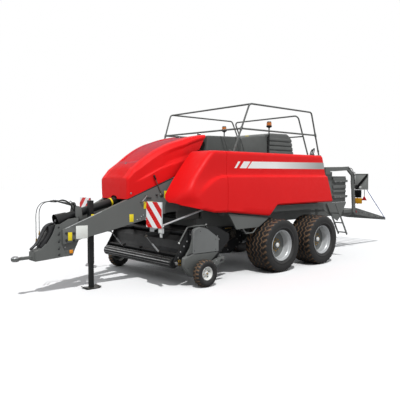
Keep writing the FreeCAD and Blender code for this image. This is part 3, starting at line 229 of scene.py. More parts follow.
# %% Enamel
def enamel(name, colour, shade, rough, ripple, edge=None, dust_and_sheen=0.0, dust_and_sheen_tint="#8F8672", sheen=0.5, metal=0.0,
           round_mm=4):
    """Enamel: cloudy colour, uneven gloss, orange peel, rounded edges that are rubbed, and a tint on what
    faces up: dust, and on the reds also a painted reflection of the pale sky.
    """
    material, tree, place = finish(name)
    # Clouds half a metre across stand for uneven spraying and fading.
    clouds = add(tree, "TexNoise", {"Vector": place, "Scale": per_metre(500), "Detail": 4})
    paint = add(tree, "Mix", {0: clouds, 6: colour, 7: shade}, data_type="RGBA")
    # Gloss changes over a hand's breadth, where the film was wiped.
    wiped = add(tree, "TexNoise", {"Vector": place, "Scale": per_metre(90), "Detail": 6, "Roughness": 0.6})
    gloss = add(tree, "MapRange", {0: wiped, 1: 0.3, 2: 0.7, 3: rough - 0.07, 4: rough + 0.09})
    rounded = add(tree, "Bevel", {"Radius": round_mm / 1000}, samples=4)
    facing = add(tree, "NewGeometry").outputs["Normal"]
    # What faces up is mixed towards a tint: dust on the grey and black enamels, and on the reds also a
    # painted reflection of the pale sky.
    if dust_and_sheen:
        up = add(tree, "SeparateXYZ", {0: facing}).outputs["Z"]
        flat = add(tree, "MapRange", {0: up, 1: 0.72, 2: 0.96, 3: 0.0, 4: dust_and_sheen})
        dust_and_sheen_patch = add(tree, "Math", {0: flat, 1: wiped}, operation="MULTIPLY")
        paint = add(tree, "Mix", {0: dust_and_sheen_patch, 6: paint, 7: dust_and_sheen_tint}, data_type="RGBA")
        gloss = add(tree, "Math", {0: dust_and_sheen_patch, 1: 0.5, 2: gloss}, operation="MULTIPLY_ADD")
    if edge:
        turn = add(tree, "VectorMath", {0: rounded, 1: facing}, operation="DOT_PRODUCT")
        rub = add(tree, "MapRange", {0: turn, 1: 0.97, 2: 0.80, 3: 0.0, 4: 1.0})
        # Chips about 12 mm across break the rubbed line up.
        chips = add(tree, "TexNoise", {"Vector": place, "Scale": per_metre(12), "Detail": 3})
        broken = add(tree, "MapRange", {0: chips, 1: 0.45, 2: 0.62, 3: 0.0, 4: 0.55})
        worn = add(tree, "Math", {0: rub, 1: broken}, operation="MULTIPLY")
        paint = add(tree, "Mix", {0: worn, 6: paint, 7: edge}, data_type="RGBA")
    # Orange peel is 2 mm across, drawn at 14 mm so that it shows at all.
    peel = add(tree, "TexNoise", {"Vector": place, "Scale": per_metre(14), "Detail": 2})
    skin = add(tree, "Bump", {"Strength": ripple, "Distance": 0.002, "Height": peel, "Normal": rounded})
    surface = add(tree, "BsdfPrincipled", {
        "Base Color": paint, "Roughness": gloss, "IOR": 1.5, "Normal": skin, "Metallic": metal,
        "Specular IOR Level": sheen})
    add(tree, "OutputMaterial", {"Surface": surface})
    return material


# On both reds the tint on what faces up is partly dust and partly a painted reflection of the pale sky; the
# second red, for the hood's top, carries far more of it.
red_enamel = enamel("red_gloss_enamel", "#E81719", "#DE1214", 0.48, 0.02, dust_and_sheen=0.12, dust_and_sheen_tint="#8A8590",
                    sheen=0.18, round_mm=5)
dust_and_sheen_red = enamel("red_enamel_dust_and_painted_sheen", "#D80E10", "#CE0A0C", 0.48, 0.02, dust_and_sheen=0.95, dust_and_sheen_tint="#686472",
                   sheen=0.12)
# A darker copy of the grey enamel, painted shade, for the bonnet.
painted_shade_grey = enamel("grey_enamel_painted_shade", "#555755", "#4D4F4D", 0.52, 0.04, "#8A8B88", 0.12, sheen=0.25)
grey_enamel = enamel("grey_satin_enamel", "#676967", "#5E605E", 0.50, 0.04, "#9A9B98", 0.10, sheen=0.3)
black_enamel = enamel("black_satin_enamel", "#1D1E1F", "#151617", 0.38, 0.06, "#5E5A52", 0.14, sheen=0.35)
silver_enamel = enamel("silver_wheel_enamel", "#C6C8C9", "#B4B6B7", 0.36, 0.03, dust_and_sheen=0.06, metal=0.3)
lamp_black = enamel("black_gloss_enamel", "#121213", "#171718", 0.25, 0.03, dust_and_sheen=0.08)
white_cap = enamel("white_hub_enamel", "#E4E5E2", "#D8D9D6", 0.35, 0.04, dust_and_sheen=0.06)
# A lighter copy of the grey enamel, painted light, for the rear light boards' faces.
painted_light_panel_grey = enamel("grey_enamel_painted_light", "#9A9C99", "#90928F", 0.45, 0.03, dust_and_sheen=0.1, sheen=0.3)
print("enamels are mixed")

# %% [markdown]
# Other finishes are not enamel. The pick-up covers are moulded ABS with a fine leather grain. Bare
# steel is metal, so its colour is its reflection. Vinyl film is printed evenly and has a light gloss.


# %% Moulded ABS, metal and film
def moulded(name, colour, shade, rough, grain_mm=9):
    """A moulded plastic with a leather grain."""
    material, tree, place = finish(name)
    clouds = add(tree, "TexNoise", {"Vector": place, "Scale": per_metre(220), "Detail": 5})
    paint = add(tree, "Mix", {0: clouds, 6: colour, 7: shade}, data_type="RGBA")
    grain = add(tree, "TexVoronoi", {"Vector": place, "Scale": per_metre(grain_mm)}, feature="SMOOTH_F1")
    scuff = add(tree, "MapRange", {0: clouds, 1: 0.3, 2: 0.7, 3: rough - 0.08, 4: rough + 0.1})
    rounded = add(tree, "Bevel", {"Radius": 0.004}, samples=4)
    skin = add(tree, "Bump", {"Strength": 0.25, "Distance": 0.0015, "Height": grain, "Normal": rounded})
    surface = add(tree, "BsdfPrincipled", {"Base Color": paint, "Roughness": scuff, "IOR": 1.53,
                                           "Normal": skin})
    add(tree, "OutputMaterial", {"Surface": surface})
    return material


def bare_metal(name, colour, rough, stain):
    """Rolled or turned metal with a film of grease and soil."""
    material, tree, place = finish(name)
    soil = add(tree, "TexNoise", {"Vector": place, "Scale": per_metre(40), "Detail": 6})
    cover = add(tree, "MapRange", {0: soil, 1: 0.45, 2: 0.7, 3: 0.0, 4: 0.7})
    paint = add(tree, "Mix", {0: cover, 6: colour, 7: stain}, data_type="RGBA")
    gloss = add(tree, "MapRange", {0: soil, 1: 0.3, 2: 0.7, 3: rough, 4: rough + 0.2})
    marks = add(tree, "Bump", {"Strength": 0.15, "Distance": 0.001, "Height": soil})
    surface = add(tree, "BsdfPrincipled", {"Base Color": paint, "Roughness": gloss, "Metallic": 1.0,
                                           "Normal": marks})
    add(tree, "OutputMaterial", {"Surface": surface})
    return material


def film(name, colour, shade, rough=0.4):
    """Printed or plain film: even, slightly cloudy colour and a light gloss."""
    material, tree, place = finish(name)
    soil = add(tree, "TexNoise", {"Vector": place, "Scale": per_metre(60), "Detail": 5})
    paint = add(tree, "Mix", {0: soil, 6: colour, 7: shade}, data_type="RGBA")
    gloss = add(tree, "MapRange", {0: soil, 1: 0.3, 2: 0.7, 3: rough - 0.05, 4: rough + 0.1})
    ripple = add(tree, "Bump", {"Strength": 0.1, "Distance": 0.001, "Height": soil})
    surface = add(tree, "BsdfPrincipled", {"Base Color": paint, "Roughness": gloss, "Normal": ripple})
    add(tree, "OutputMaterial", {"Surface": surface})
    return material


grey_abs = moulded("moulded_grey_abs", "#717372", "#656766", 0.50)
# A darker copy of the grey ABS, painted shade, for the lower pick-up covers and the knotter cover.
painted_shade_abs = moulded("grey_abs_painted_shade", "#5B5D5B", "#515351", 0.52)
black_abs = moulded("moulded_black_abs", "#232325", "#1B1B1C", 0.42)
bright_steel = bare_metal("turned_steel", "#B9BABB", 0.22, "#6F6A62")
dark_steel = bare_metal("worn_steel", "#77726B", 0.34, "#3B3732")
gold_zinc = bare_metal("yellow_zinc_plate", "#C9A24A", 0.30, "#7A6233")
yellow_film = film("yellow_vinyl_film", "#F2DC1E", "#E3CB18")
white_film = film("white_vinyl_film", "#ECEEE8", "#DCDED8")
orange_lens = film("orange_reflector_lens", "#F39A16", "#E08A10", 0.25)
orange_plate_film = film("orange_enamel_plate", "#E0A21F", "#CF9118", 0.35)
red_lens = film("red_reflector_lens", "#C4141A", "#A81016", 0.25)
print("plastics, metals and films are mixed")

# %% [markdown]
# Rubber is matt and greys with age, and a tyre keeps dry soil in its grooves: each tyre's mesh
# stores how deep each point lies in the tread. A hose and a rope have a braided or laid skin.

# %% Tyre rubber
tyre_black, tree, place = finish("tyre_rubber")
depth = add(tree, "Attribute", attribute_name="depth").outputs["Fac"]
# Soil clings in patches a few centimetres across.
patches = add(tree, "TexNoise", {"Vector": place, "Scale": per_metre(35), "Detail": 6, "Roughness": 0.7})
bare = add(tree, "MapRange", {0: patches, 1: 0.25, 2: 0.75, 3: 0.42, 4: 0.92})
deep = add(tree, "MapRange", {0: depth, 1: 0.45, 2: 0.7, 3: 0.0, 4: 1.0})
soil = add(tree, "Math", {0: deep, 1: bare}, operation="MULTIPLY")
rubber = add(tree, "Mix", {0: patches, 6: "#131313", 7: "#1C1B1B"}, data_type="RGBA")
paint = add(tree, "Mix", {0: soil, 6: rubber, 7: "#876A4E"}, data_type="RGBA")
dull = add(tree, "MapRange", {0: soil, 1: 0.0, 2: 1.0, 3: 0.55, 4: 0.95})
crumbs = add(tree, "Bump", {"Strength": 0.3, "Distance": 0.003, "Height": patches})
surface = add(tree, "BsdfPrincipled", {"Base Color": paint, "Roughness": dull, "IOR": 1.52, "Normal": crumbs})
add(tree, "OutputMaterial", {"Surface": surface})
print("tyre rubber is mixed")


# %% Braid
def braid(name, colour, shade, pitch_mm):
    """A braided skin, drawn as diagonal ridges."""
    material, tree, place = finish(name)
    turns = add(tree, "TexWave", {"Vector": place, "Scale": per_metre(pitch_mm) / 6.28, "Distortion": 1.5,
                                  "Detail": 2}, bands_direction="DIAGONAL").outputs["Fac"]
    paint = add(tree, "Mix", {0: turns, 6: colour, 7: shade}, data_type="RGBA")
    twist = add(tree, "Bump", {"Strength": 0.5, "Distance": 0.001, "Height": turns})
    surface = add(tree, "BsdfPrincipled", {"Base Color": paint, "Roughness": 0.7, "Normal": twist})
    add(tree, "OutputMaterial", {"Surface": surface})
    return material


hose_black = braid("braided_hose_rubber", "#1B1B1C", "#101011", 9)
blue_rope = braid("braided_blue_rope", "#1B4DB4", "#103A94", 14)
print("braids are mixed")

# %% [markdown]
# ## Tools for shapes
# A workshop makes parts in a few ways: it cuts plate, bends tube, turns bar and presses sheet. Each
# way gets one small function that starts from a bmesh operator. A shape is drawn on its own and then
# poured into the mesh of its piece, where each face keeps the number of its finish.

# %% Pouring shapes into a piece
TO_FRAME = Matrix.Translation((AXLE_X, 0, 0)) @ Matrix.Scale(0.001, 4)
X, Y, Z = Vector((1, 0, 0)), Vector((0, 1, 0)), Vector((0, 0, 1))


def aim(place, direction):
    """The matrix that carries a shape's z axis to a direction and its origin to a place."""
    return Matrix.Translation(Vector(place)) @ Vector(direction).to_track_quat("Z", "Y").to_matrix().to_4x4()


def pour(bm, shape, finish=0, matrix=None):
    """Adds a shape's faces to a piece, all in one finish unless it is None, and frees the shape."""
    if finish is not None:
        for face in shape.faces:
            face.material_index = finish
    if matrix:
        bmesh.ops.transform(shape, matrix=matrix, verts=shape.verts)
    carrier = bpy.data.meshes.new("carrier")
    shape.to_mesh(carrier)
    shape.free()
    bm.from_mesh(carrier)
    bpy.data.meshes.remove(carrier)


print("shapes can be poured into a piece")

# %% Steps that shapes share
def new_verts(made):
    """The vertices among what an operator made."""
    return [item for item in made["geom"] if isinstance(item, bmesh.types.BMVert)]


def draw_out(shape, push, faces=None):
    """Extrudes faces, or all of them, by a vector."""
    made = bmesh.ops.extrude_face_region(shape, geom=faces or shape.faces[:])
    bmesh.ops.translate(shape, vec=push, verts=new_verts(made))
    bmesh.ops.recalc_face_normals(shape, faces=shape.faces)


def cut_off(bm, place, outward):
    """Cuts a mesh at a plane and clears what lies on its outward side."""
    bmesh.ops.bisect_plane(bm, geom=bm.verts[:] + bm.edges[:] + bm.faces[:], plane_co=place, plane_no=outward,
                           clear_outer=True)


def face_out(bm, side=1):
    """Turns the faces of an open sheet to the machine's left, or to its right where side is -1."""
    bmesh.ops.recalc_face_normals(bm, faces=bm.faces)
    if sum(face.normal.y * face.calc_area() for face in bm.faces) * side < 0:
        bmesh.ops.reverse_faces(bm, faces=bm.faces)


def round_edges(shape, width, segments=2, edges=None, angle=30):
    """Rounds the edges that turn by more than an angle, or the edges given."""
    if edges is None:
        limit = math.radians(angle)
        edges = [e for e in shape.edges if len(e.link_faces) == 2 and e.calc_face_angle() > limit]
    bmesh.ops.bevel(shape, geom=edges, offset=width, segments=segments, profile=0.5, affect="EDGES",
                    material=-1, clamp_overlap=True)


def rim_edges(shape, corners_over):
    """The edges round every face that has more corners than this."""
    return [e for e in shape.edges
            if len(e.link_faces) == 2 and any(len(face.verts) > corners_over for face in e.link_faces)]


print("shapes can be drawn out, cut and rounded")

# %% Blocks, bars, bolts and plate
def block(bm, low, high, finish=0, width=3, segments=2, matrix=None):
    """A box between two corners with rounded edges."""
    low, high = Vector(low), Vector(high)
    size = high - low
    shape = bmesh.new()
    placing = Matrix.Translation((low + high) / 2) @ Matrix.Diagonal((*size, 1))
    bmesh.ops.create_cube(shape, size=1, matrix=placing)
    round_edges(shape, min(width, min(size) * 0.45), segments)
    pour(bm, shape, finish, matrix)


def rod(bm, start, end, radius, finish=0, sides=16, width=2):
    """A round bar between two places, with a chamfer at its ends."""
    start, end = Vector(start), Vector(end)
    shape = bmesh.new()
    bmesh.ops.create_cone(shape, cap_ends=True, segments=sides, radius1=radius, radius2=radius,
                          depth=(end - start).length)
    round_edges(shape, min(width, radius * 0.3), 1, rim_edges(shape, 4))
    pour(bm, shape, finish, aim((start + end) / 2, end - start))


def bolt(bm, place, outward, size, finish=0):
    """A hexagon head on a round washer; size is its width in millimetres."""
    place, outward = Vector(place), Vector(outward).normalized()
    washer = place + outward * size * 0.12
    rod(bm, place, washer, size * 0.72, finish, 12, 0.5)
    rod(bm, washer, place + outward * size * 0.55, size * 0.5, finish, 6, size * 0.06)


def plate(outline, low, high, across="Y"):
    """A raw plate cut to an outline: (x, z) for a plate across y, (y, z) across x, (x, y) across z."""
    spots = {"X": lambda a, b: (low, a, b), "Y": lambda a, b: (a, low, b),
             "Z": lambda a, b: (a, b, low)}[across]
    shape = bmesh.new()
    face = shape.faces.new([shape.verts.new(spots(*point)) for point in outline])
    draw_out(shape, {"X": X, "Y": Y, "Z": Z}[across] * (high - low), [face])
    return shape


def slab(bm, outline, low, high, across="Y", finish=0, width=3, segments=2):
    """A plate with rounded edges."""
    shape = plate(outline, low, high, across)
    if width:
        round_edges(shape, min(width, abs(high - low) * 0.45), segments)
    pour(bm, shape, finish)


print("blocks, bars, bolts and plate can be made")

# %% Turned shapes and bent tube
def turned(bm, outline, place, outward, finish=0, steps=32):
    """A turned shape: outline is (radius, along) points, closed at a radius of zero or on itself."""
    shape = bmesh.new()
    spots = [shape.verts.new((radius, 0, along)) for radius, along in outline]
    edges = [shape.edges.new(pair) for pair in zip(spots, spots[1:])]
    if outline[0][0] and outline[-1][0]:
        edges.append(shape.edges.new((spots[-1], spots[0])))
    bmesh.ops.spin(shape, geom=spots + edges, cent=(0, 0, 0), axis=Z, angle=math.tau, steps=steps,
                   use_merge=True)
    bmesh.ops.remove_doubles(shape, verts=shape.verts, dist=0.01)
    bmesh.ops.recalc_face_normals(shape, faces=shape.faces)
    pour(bm, shape, finish, aim(place, outward))


def knob(bm, place, outward, radius, crown, rise, height, finish=0, steps=16):
    """A round head: its side rises a little, and its crown is nearly flat."""
    turned(bm, ((0, 0), (radius, 0), (crown, rise), (0, height)), place, outward, finish, steps)


def smooth_line(name, points, resolution, radius=0.0, roundness=0):
    """A smooth curve that a few points steer, as a round tube, or as a bare line without a radius."""
    curve = bpy.data.curves.new(name, "CURVE")
    curve.dimensions = "3D"
    spline = curve.splines.new("NURBS")
    spline.points.add(len(points) - 1)
    for point, place in zip(spline.points, points):
        point.co = (*place, 1)
    spline.order_u = 3
    spline.use_endpoint_u = True
    spline.resolution_u = resolution
    curve.bevel_depth = radius
    curve.bevel_resolution = roundness
    curve.use_fill_caps = True
    return bpy.data.objects.new(name, curve)


def bent(bm, points, radius, finish=0, sides=10):
    """Tube bent through points: a smooth curve with a round bevel, turned into faces."""
    tube = smooth_line("bent", points, 6, radius, sides // 4)
    mesh = bpy.data.meshes.new_from_object(tube)
    shape = bmesh.new()
    shape.from_mesh(mesh)
    bmesh.ops.remove_doubles(shape, verts=shape.verts, dist=0.01)
    bmesh.ops.recalc_face_normals(shape, faces=shape.faces)
    pour(bm, shape, finish)
    bpy.data.meshes.remove(mesh)
    bpy.data.curves.remove(tube.data)


print("bar can be turned and tube can be bent")

# %% From a mesh to a piece
def other_side(bm):
    """Repeats all of a piece on the machine's other side."""
    bmesh.ops.mirror(bm, geom=bm.verts[:] + bm.edges[:] + bm.faces[:], axis="Y", merge_dist=0.01)
    bmesh.ops.recalc_face_normals(bm, faces=bm.faces)


def piece(name, bm, finishes, body, replaced=(), sharp=32):
    """Turns a mesh drawn in millimetres into an object that rides on a body."""
    bmesh.ops.transform(bm, matrix=TO_FRAME, verts=bm.verts)
    mesh = bpy.data.meshes.new(name)
    bm.to_mesh(mesh)
    bm.free()
    mesh.polygons.foreach_set("use_smooth", [True] * len(mesh.polygons))
    mesh.set_sharp_from_angle(angle=math.radians(sharp))
    for material in finishes:
        mesh.materials.append(material)
    made = bpy.data.objects.new(name, mesh)
    scene.collection.objects.link(made)
    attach(made, body)
    if replaced:
        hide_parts(*replaced)
    return made


print("the shape tools are ready")

# %% [markdown]
# ## Hoses
# Two hydraulic leads leave the clamp on top of the drawbar and hang from their own weight. A hose is
# a rubber tube over steel braid: it holds a bend and never kinks. The curve has the same few places
# as the CAD tube, as control points of a smooth spline, and each end has its swaged collar.

# %% Hose curves
HOSE_ROUTES = {
    "hydraulic_hose_upper": ((4170, -15, 1500), (4230, -15, 1500), (4290, -48, 1480), (4325, -95, 1420),
                             (4330, -140, 1340), (4322, -165, 1240), (4318, -173, 1125), (4320, -170, 1010)),
    "hydraulic_hose_lower": ((4170, -45, 1500), (4240, -45, 1500), (4310, -84, 1482), (4352, -137, 1418),
                             (4362, -186, 1330), (4356, -215, 1225), (4350, -225, 1105), (4353, -222, 985),
                             (4350, -224, 880)),
}
HOSE_RADIUS = 6
for node, route in HOSE_ROUTES.items():
    hose = smooth_line(node + "_line", [at(*place) for place in route], 12, HOSE_RADIUS / 1000, 3)
    hose.data.materials.append(hose_black)
    scene.collection.objects.link(hose)
    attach(hose, body_of[node])
    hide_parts(node)

# %% [markdown]
# A crimped collar stiffens each hose where it leaves the clamp, and each end has a quick coupler: a
# hexagon to hold with a spanner, a knurled sleeve that slides back, and a plug that enters the
# tractor's socket. All of these are turned from bar, so a profile is spun.

# %% Strain reliefs and couplers
RELIEF = ((0, 0), (10.5, 0), (10.5, 12), (9, 14), (8.4, 30), (7.2, 46), (6.4, 50), (0, 50))
RINGS = [spot for along in range(33, 58, 6) for spot in ((15, along), (15, along + 4), (13.6, along + 5))]
SLEEVE = [(0, 28), (12, 28), (12, 31), *RINGS, (13, 66), (10, 70), (0, 70)]
PLUG = ((0, 68), (9, 68), (9, 78), (10, 79), (10, 84), (7, 88), (7, 92), (0, 93.5))
for node, route in HOSE_ROUTES.items():
    end = Vector(route[-1])
    side = node.split("_")[-1]
    along = (end - Vector(route[-2])).normalized()
    bm = bmesh.new()
    turned(bm, RELIEF, route[0], X)
    relief = piece("hose_relief_" + side, bm, [hose_black], body_of[node])
    bm = bmesh.new()
    rod(bm, end - along * 6, end + along * 2, 9, 0, 20)
    rod(bm, end, end + along * 28, 11, 0, 6)
    turned(bm, SLEEVE, end, along, 0, 24)
    turned(bm, PLUG, end, along, 1, 24)
    coupler = piece("hose_coupler_" + side, bm, [gold_zinc, bright_steel], body_of[node],
                    ("hose_couplers",))

# %% [markdown]
# ## Chute rope
# A taut blue rope holds the bale chute up from the left light bracket. Laid rope is three strands
# twisted round each other, so three round strands are swept along a helix about the rope's own line.
# It crosses the chute's hinge, so it is left off both bodies and stays still.

# %% Laid rope
ROPE_ROUTE = ((-4009.5, 984.7, 1551.6), (-4819.8, 807, 1143.3), (-5630, 629.3, 735))
ROPE_RADIUS = 9
# A strand's radius, and how far it lies from the rope's middle, as shares of the rope's radius.
STRAND_SIZE, STRAND_REACH = 0.6, 0.56
LAY_LENGTH = 44
line = smooth_line("rope_line", ROPE_ROUTE, 100)
middles = [vertex.co.copy() for vertex in bpy.data.meshes.new_from_object(line).vertices]
bpy.data.curves.remove(line.data)
run = middles[-1] - middles[0]
side = run.cross(Z).normalized()
over = run.cross(side).normalized()
bm = bmesh.new()
for strand in range(3):
    turns = [math.tau * ((middle - middles[0]).length / LAY_LENGTH + strand / 3) for middle in middles]
    bent(bm, [middle + (side * math.cos(turn) + over * math.sin(turn)) * ROPE_RADIUS * STRAND_REACH
              for middle, turn in zip(middles, turns)], ROPE_RADIUS * STRAND_SIZE, 0, 6)
rope = piece("chute_rope_laid", bm, [blue_rope], "chassis", ("chute_rope",), 60)
rope.parent = None
del rope["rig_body"]
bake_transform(rope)
print("the rope is", round(run.length / 1000, 2), "m long")

# %% [markdown]
# ## Hood
# The hood over the flywheel is one pressing: a crowned top with a raised band along each shoulder, a
# side with a long crease, and a flat front. A grid of faces is laid over it like sheet on a die:
# its columns become sections across the machine and its rows run along it. Then the rear edge is
# cut off aslant and the sheet gets its thickness.

# %% Hood lines
HOOD_CREST = ((1250, 2730), (1280, 2725), (1690, 2660), (2070, 2550), (2340, 2425), (2590, 2268),
              (2790, 2115), (2900, 2022), (2965, 1942), (3000, 1825))
HOOD_HEM = ((1250, 2415), (1440, 2415), (1600, 2360), (2078, 1902), (3000, 1512))
HOOD_WIDTH = ((1250, 609), (1900, 599), (2400, 529), (3000, 440))
HOOD_CREASE = ((1250, 2420), (1700, 2264), (1852, 2219), (2162, 2122), (2371, 2048), (2574, 1940),
               (2750, 1850), (3000, 1760))


def along_line(points, x):
    """The height of a line through (x, height) points, at x."""
    for (x0, h0), (x1, h1) in zip(points, points[1:]):
        if x <= x1:
            return h0 + (h1 - h0) * (x - x0) / (x1 - x0)
    return points[-1][1]


def soft_line(points, x, reach=90):
    """The same line with its corners eased over a reach."""
    places = [min(max(x + reach * step / 2, points[0][0]), points[-1][0]) for step in (-2, -1, 0, 1, 2)]
    return sum(along_line(points, place) for place in places) / 5


def ease(value, low, high):
    """A smooth step from 0 at low to 1 at high."""
    share = min(max((value - low) / (high - low), 0), 1)
    return share * share * (3 - 2 * share)


print("the hood's top falls from", HOOD_CREST[0][1], "to", HOOD_CREST[-1][1], "mm")

# %% Hood skin
HOOD_REAR, HOOD_NOSE = 1250, 3000
HOOD_SHOULDER, LEDGE, DISH, NOSE_ROUND, CROWN, RECESS = 78, 24, 16, 40, 40, 26
RECESS_WIDTH = 0.62


def hood_place(x, t):
    """Where the sheet lies at x and at t, from 0 at the left hem over the top to 2 at the right hem."""
    side = 1 if t <= 1 else -1
    t = min(t, 2 - t)
    top = soft_line(HOOD_CREST, x)
    hem = along_line(HOOD_HEM, x)
    nose = min(max((x - (HOOD_NOSE - NOSE_ROUND)) / NOSE_ROUND, 0), 1)
    outer = soft_line(HOOD_WIDTH, x) - NOSE_ROUND * (1 - math.sqrt(1 - nose * nose))
    # Below the crease the side stands further out than above it.
    inset = LEDGE * ease(x, 2900, 2620)
    width = outer - inset
    shoulder = HOOD_SHOULDER * (0.45 + 0.55 * ease(x, HOOD_NOSE, 2700)) * (0.45 + 0.55 * ease(x, 1300, 1900))
    edge = top - CROWN * (0.4 + 0.6 * ease(x, HOOD_NOSE, 2600)) * (0.4 + 0.6 * ease(x, 1300, 1900))
    if t < 0.5:
        share = t / 0.5
        z = hem + (edge - shoulder - hem) * share
        crease = soft_line(HOOD_CREASE, x)
        spread = 14 + 12 * (1 - ease(x, 1700, 2500))
        y = outer - 16 * (1 - share) ** 2 - inset * ease(z, crease - spread, crease + spread)
        # Towards the rear, the side is dished between the crease and the shoulder.
        dish = ease(z, crease + 30, crease + 60) * (1 - ease(z, edge - shoulder - 70, edge - shoulder - 20))
        y -= DISH * dish * (1 - ease(x, 2050, 2330))
    elif t < 0.7:
        # The shoulder is a flat band at a slant, whose two edges are crisp.
        turn = (t - 0.5) / 0.2
        y = width - shoulder * turn
        z = edge - shoulder * (1 - turn)
    else:
        share = (t - 0.7) / 0.3
        y = (width - shoulder) * (1 - share)
        z = edge + (top - edge) * (1 - (1 - share) ** 2)
        # The middle of the top is pressed down between the two shoulder bands, behind the latch.
        inside = 1 - ease(y, width * (RECESS_WIDTH - 0.05), width * RECESS_WIDTH)
        z -= RECESS * inside * (1 - ease(x + y * 0.25, 2690, 2780))
    return Vector((x, side * y, z))


bm = bmesh.new()
bmesh.ops.create_grid(bm, x_segments=56, y_segments=96, size=1)
for vertex in bm.verts:
    back = (1 - vertex.co.x) / 2
    vertex.co = hood_place(HOOD_NOSE - (HOOD_NOSE - HOOD_REAR) * back ** 1.25, vertex.co.y + 1)
cut_off(bm, (1440, 0, 2415), (-310, 0, -160))
front = [e for e in bm.edges if e.is_boundary and min(v.co.x for v in e.verts) > HOOD_NOSE - 1]
# Below, the front is notched for the driveline, with an arch between the two ends of the hem.
ends = sorted((v for v in bm.verts if v.co.x > HOOD_NOSE - 1 and v.co.z < 1513), key=lambda v: v.co.y)
arch = [(100, 1512), (92, 1540), (64, 1562), (0, 1572), (-64, 1562), (-92, 1540), (-100, 1512)]
notch = [ends[1]] + [bm.verts.new((HOOD_NOSE, y, z)) for y, z in arch] + [ends[0]]
front += [bm.edges.new(pair) for pair in zip(notch, notch[1:])]
bmesh.ops.edgeloop_fill(bm, edges=front)
bmesh.ops.recalc_face_normals(bm, faces=bm.faces)
round_edges(bm, 7, 3, rim_edges(bm, 8))
bmesh.ops.recalc_face_normals(bm, faces=bm.faces)
bmesh.ops.solidify(bm, geom=bm.faces[:], thickness=6)
# Within the two shoulders, what faces up takes the second red, whose tint is partly dust and partly a painted
# reflection of the pale sky.
for face in bm.faces:
    spot = face.calc_center_median()
    if face.normal.z > 0.4 and abs(spot.y) < soft_line(HOOD_WIDTH, spot.x) * RECESS_WIDTH:
        face.material_index = 1
hood = piece("hood_pressing", bm, [red_enamel, dust_and_sheen_red], "hood_body", ("hood",), 24)
print("hood faces:", len(hood.data.polygons))

# %% Hood fittings
bm = bmesh.new()
up = Vector((0.62, 0, 0.79))
latch = hood_place(2740, 1) - up * 3
turned(bm, ((0, 0), (26, 0), (26, 5), (20, 9), (0, 9)), latch, up, 0, 24)
turned(bm, ((0, 8), (10, 8), (9, 13), (0, 14)), latch, up, 1, 16)
corner = hood_place(2930, 0.10)
for side in (1, -1):
    spot = (corner.x, side * corner.y, corner.z)
    turned(bm, ((0, 0), (17, 0), (17, 3), (9, 6), (0, 6)), spot, (0.1, side, 0), 1, 16)
for y in (-340, 340):
    block(bm, (1262, y - 55, 2690), (1292, y + 55, 2704))
piece("hood_latch", bm, [lamp_black, bright_steel], "hood_body")
print("the hood has its latch")

# %% [markdown]
# ## Side doors and nose panels
# Each side door is a pressed skin with two planes. The upper band leans in towards its foot, then a
# shelf steps out to the lower plane, so the step catches the light as one long line. At the front
# the nose panel carries both planes round a soft corner, and the shelf sweeps down and fades out.

# %% Door section
DOOR_TOP, DOOR_FOOT, DOOR_SEAM = 2372, 1334, 1374
DOOR_REAR_TOP_X, DOOR_REAR_FOOT_X = -1600, -2000
CREASE_Z, SHELF = 1914, 24
BAND_TOP_Y, BAND_LOW_Y, SKIN_Y, RIM_Y = 1234, 1216, 1266, 1150
TOP_ROUND = 62


def band_y(z):
    """How far out the upper band lies at a height."""
    return BAND_LOW_Y + (BAND_TOP_Y - BAND_LOW_Y) * ease(z, CREASE_Z, DOOR_TOP)


def lower_y(z, foot):
    """How far out the lower plane lies at a height; it turns in at its foot."""
    return SKIN_Y - 6 * ease(z, 1700, CREASE_Z) - 26 * (1 - ease(z, foot, foot + 34)) ** 2


def top_round(z):
    """How far the skin has rolled in at a height, near its top."""
    roll = max(z - (DOOR_TOP - TOP_ROUND), 0) / TOP_ROUND
    return TOP_ROUND * (1 - math.sqrt(max(1 - roll * roll, 0)))


def top_heights(steps):
    """Heights that follow the roll at the top by equal angles."""
    return [DOOR_TOP - TOP_ROUND * (1 - math.sin(math.pi / 2 * i / steps)) for i in range(steps + 1)]


def skin_y(z, foot):
    """How far out the door's skin lies at a height."""
    upper = band_y(z)
    below = 1 - ease(z, CREASE_Z - SHELF, CREASE_Z + SHELF)
    return upper + (lower_y(z, foot) - upper) * below - top_round(z)


def door_foot(x):
    """The height of the door's lower edge: a step up over the wheels."""
    return along_line(((-2100, 1336), (-66, 1332), (-30, 1318), (170, 1142), (204, 1129), (1400, 1258)), x)


print("the doors are", DOOR_TOP - DOOR_FOOT, "mm high")

# %% Sheets laid on a die
def sheet(columns, rows, place):
    """A grid of faces; place says where the point of a column and a row goes."""
    bm = bmesh.new()
    bmesh.ops.create_grid(bm, x_segments=columns - 1, y_segments=rows - 1, size=1)
    for vertex in bm.verts:
        column = round((vertex.co.x + 1) / 2 * (columns - 1))
        vertex.co = place(column, round((vertex.co.y + 1) / 2 * (rows - 1)))
    return bm


def fold_and_thicken(bm, hems, push):
    """Folds a sheet's edges in, which stiffens it, and gives it its thickness."""
    fold = bmesh.ops.extrude_edge_only(bm, edges=hems)
    bmesh.ops.translate(bm, vec=push, verts=new_verts(fold))
    bmesh.ops.recalc_face_normals(bm, faces=bm.faces)
    bmesh.ops.solidify(bm, geom=bm.faces[:], thickness=3)


print("sheets can be pressed and folded")

# %% Door skins
DOOR_XS = [*range(-2000, -100, 65), -66, -30, 20, 70, 120, 170, 204, *range(260, 1341, 60), DOOR_SEAM]
FOOT_SHARES = [0, 0.008, 0.02, 0.05, 0.2, 0.35, 0.5, 0.65, 0.8, 0.9, 0.96]
DOOR_ZS = [CREASE_Z - SHELF + 6 * i for i in range(9)] + [1980, 2060, 2140, 2220, 2290] + top_heights(8)


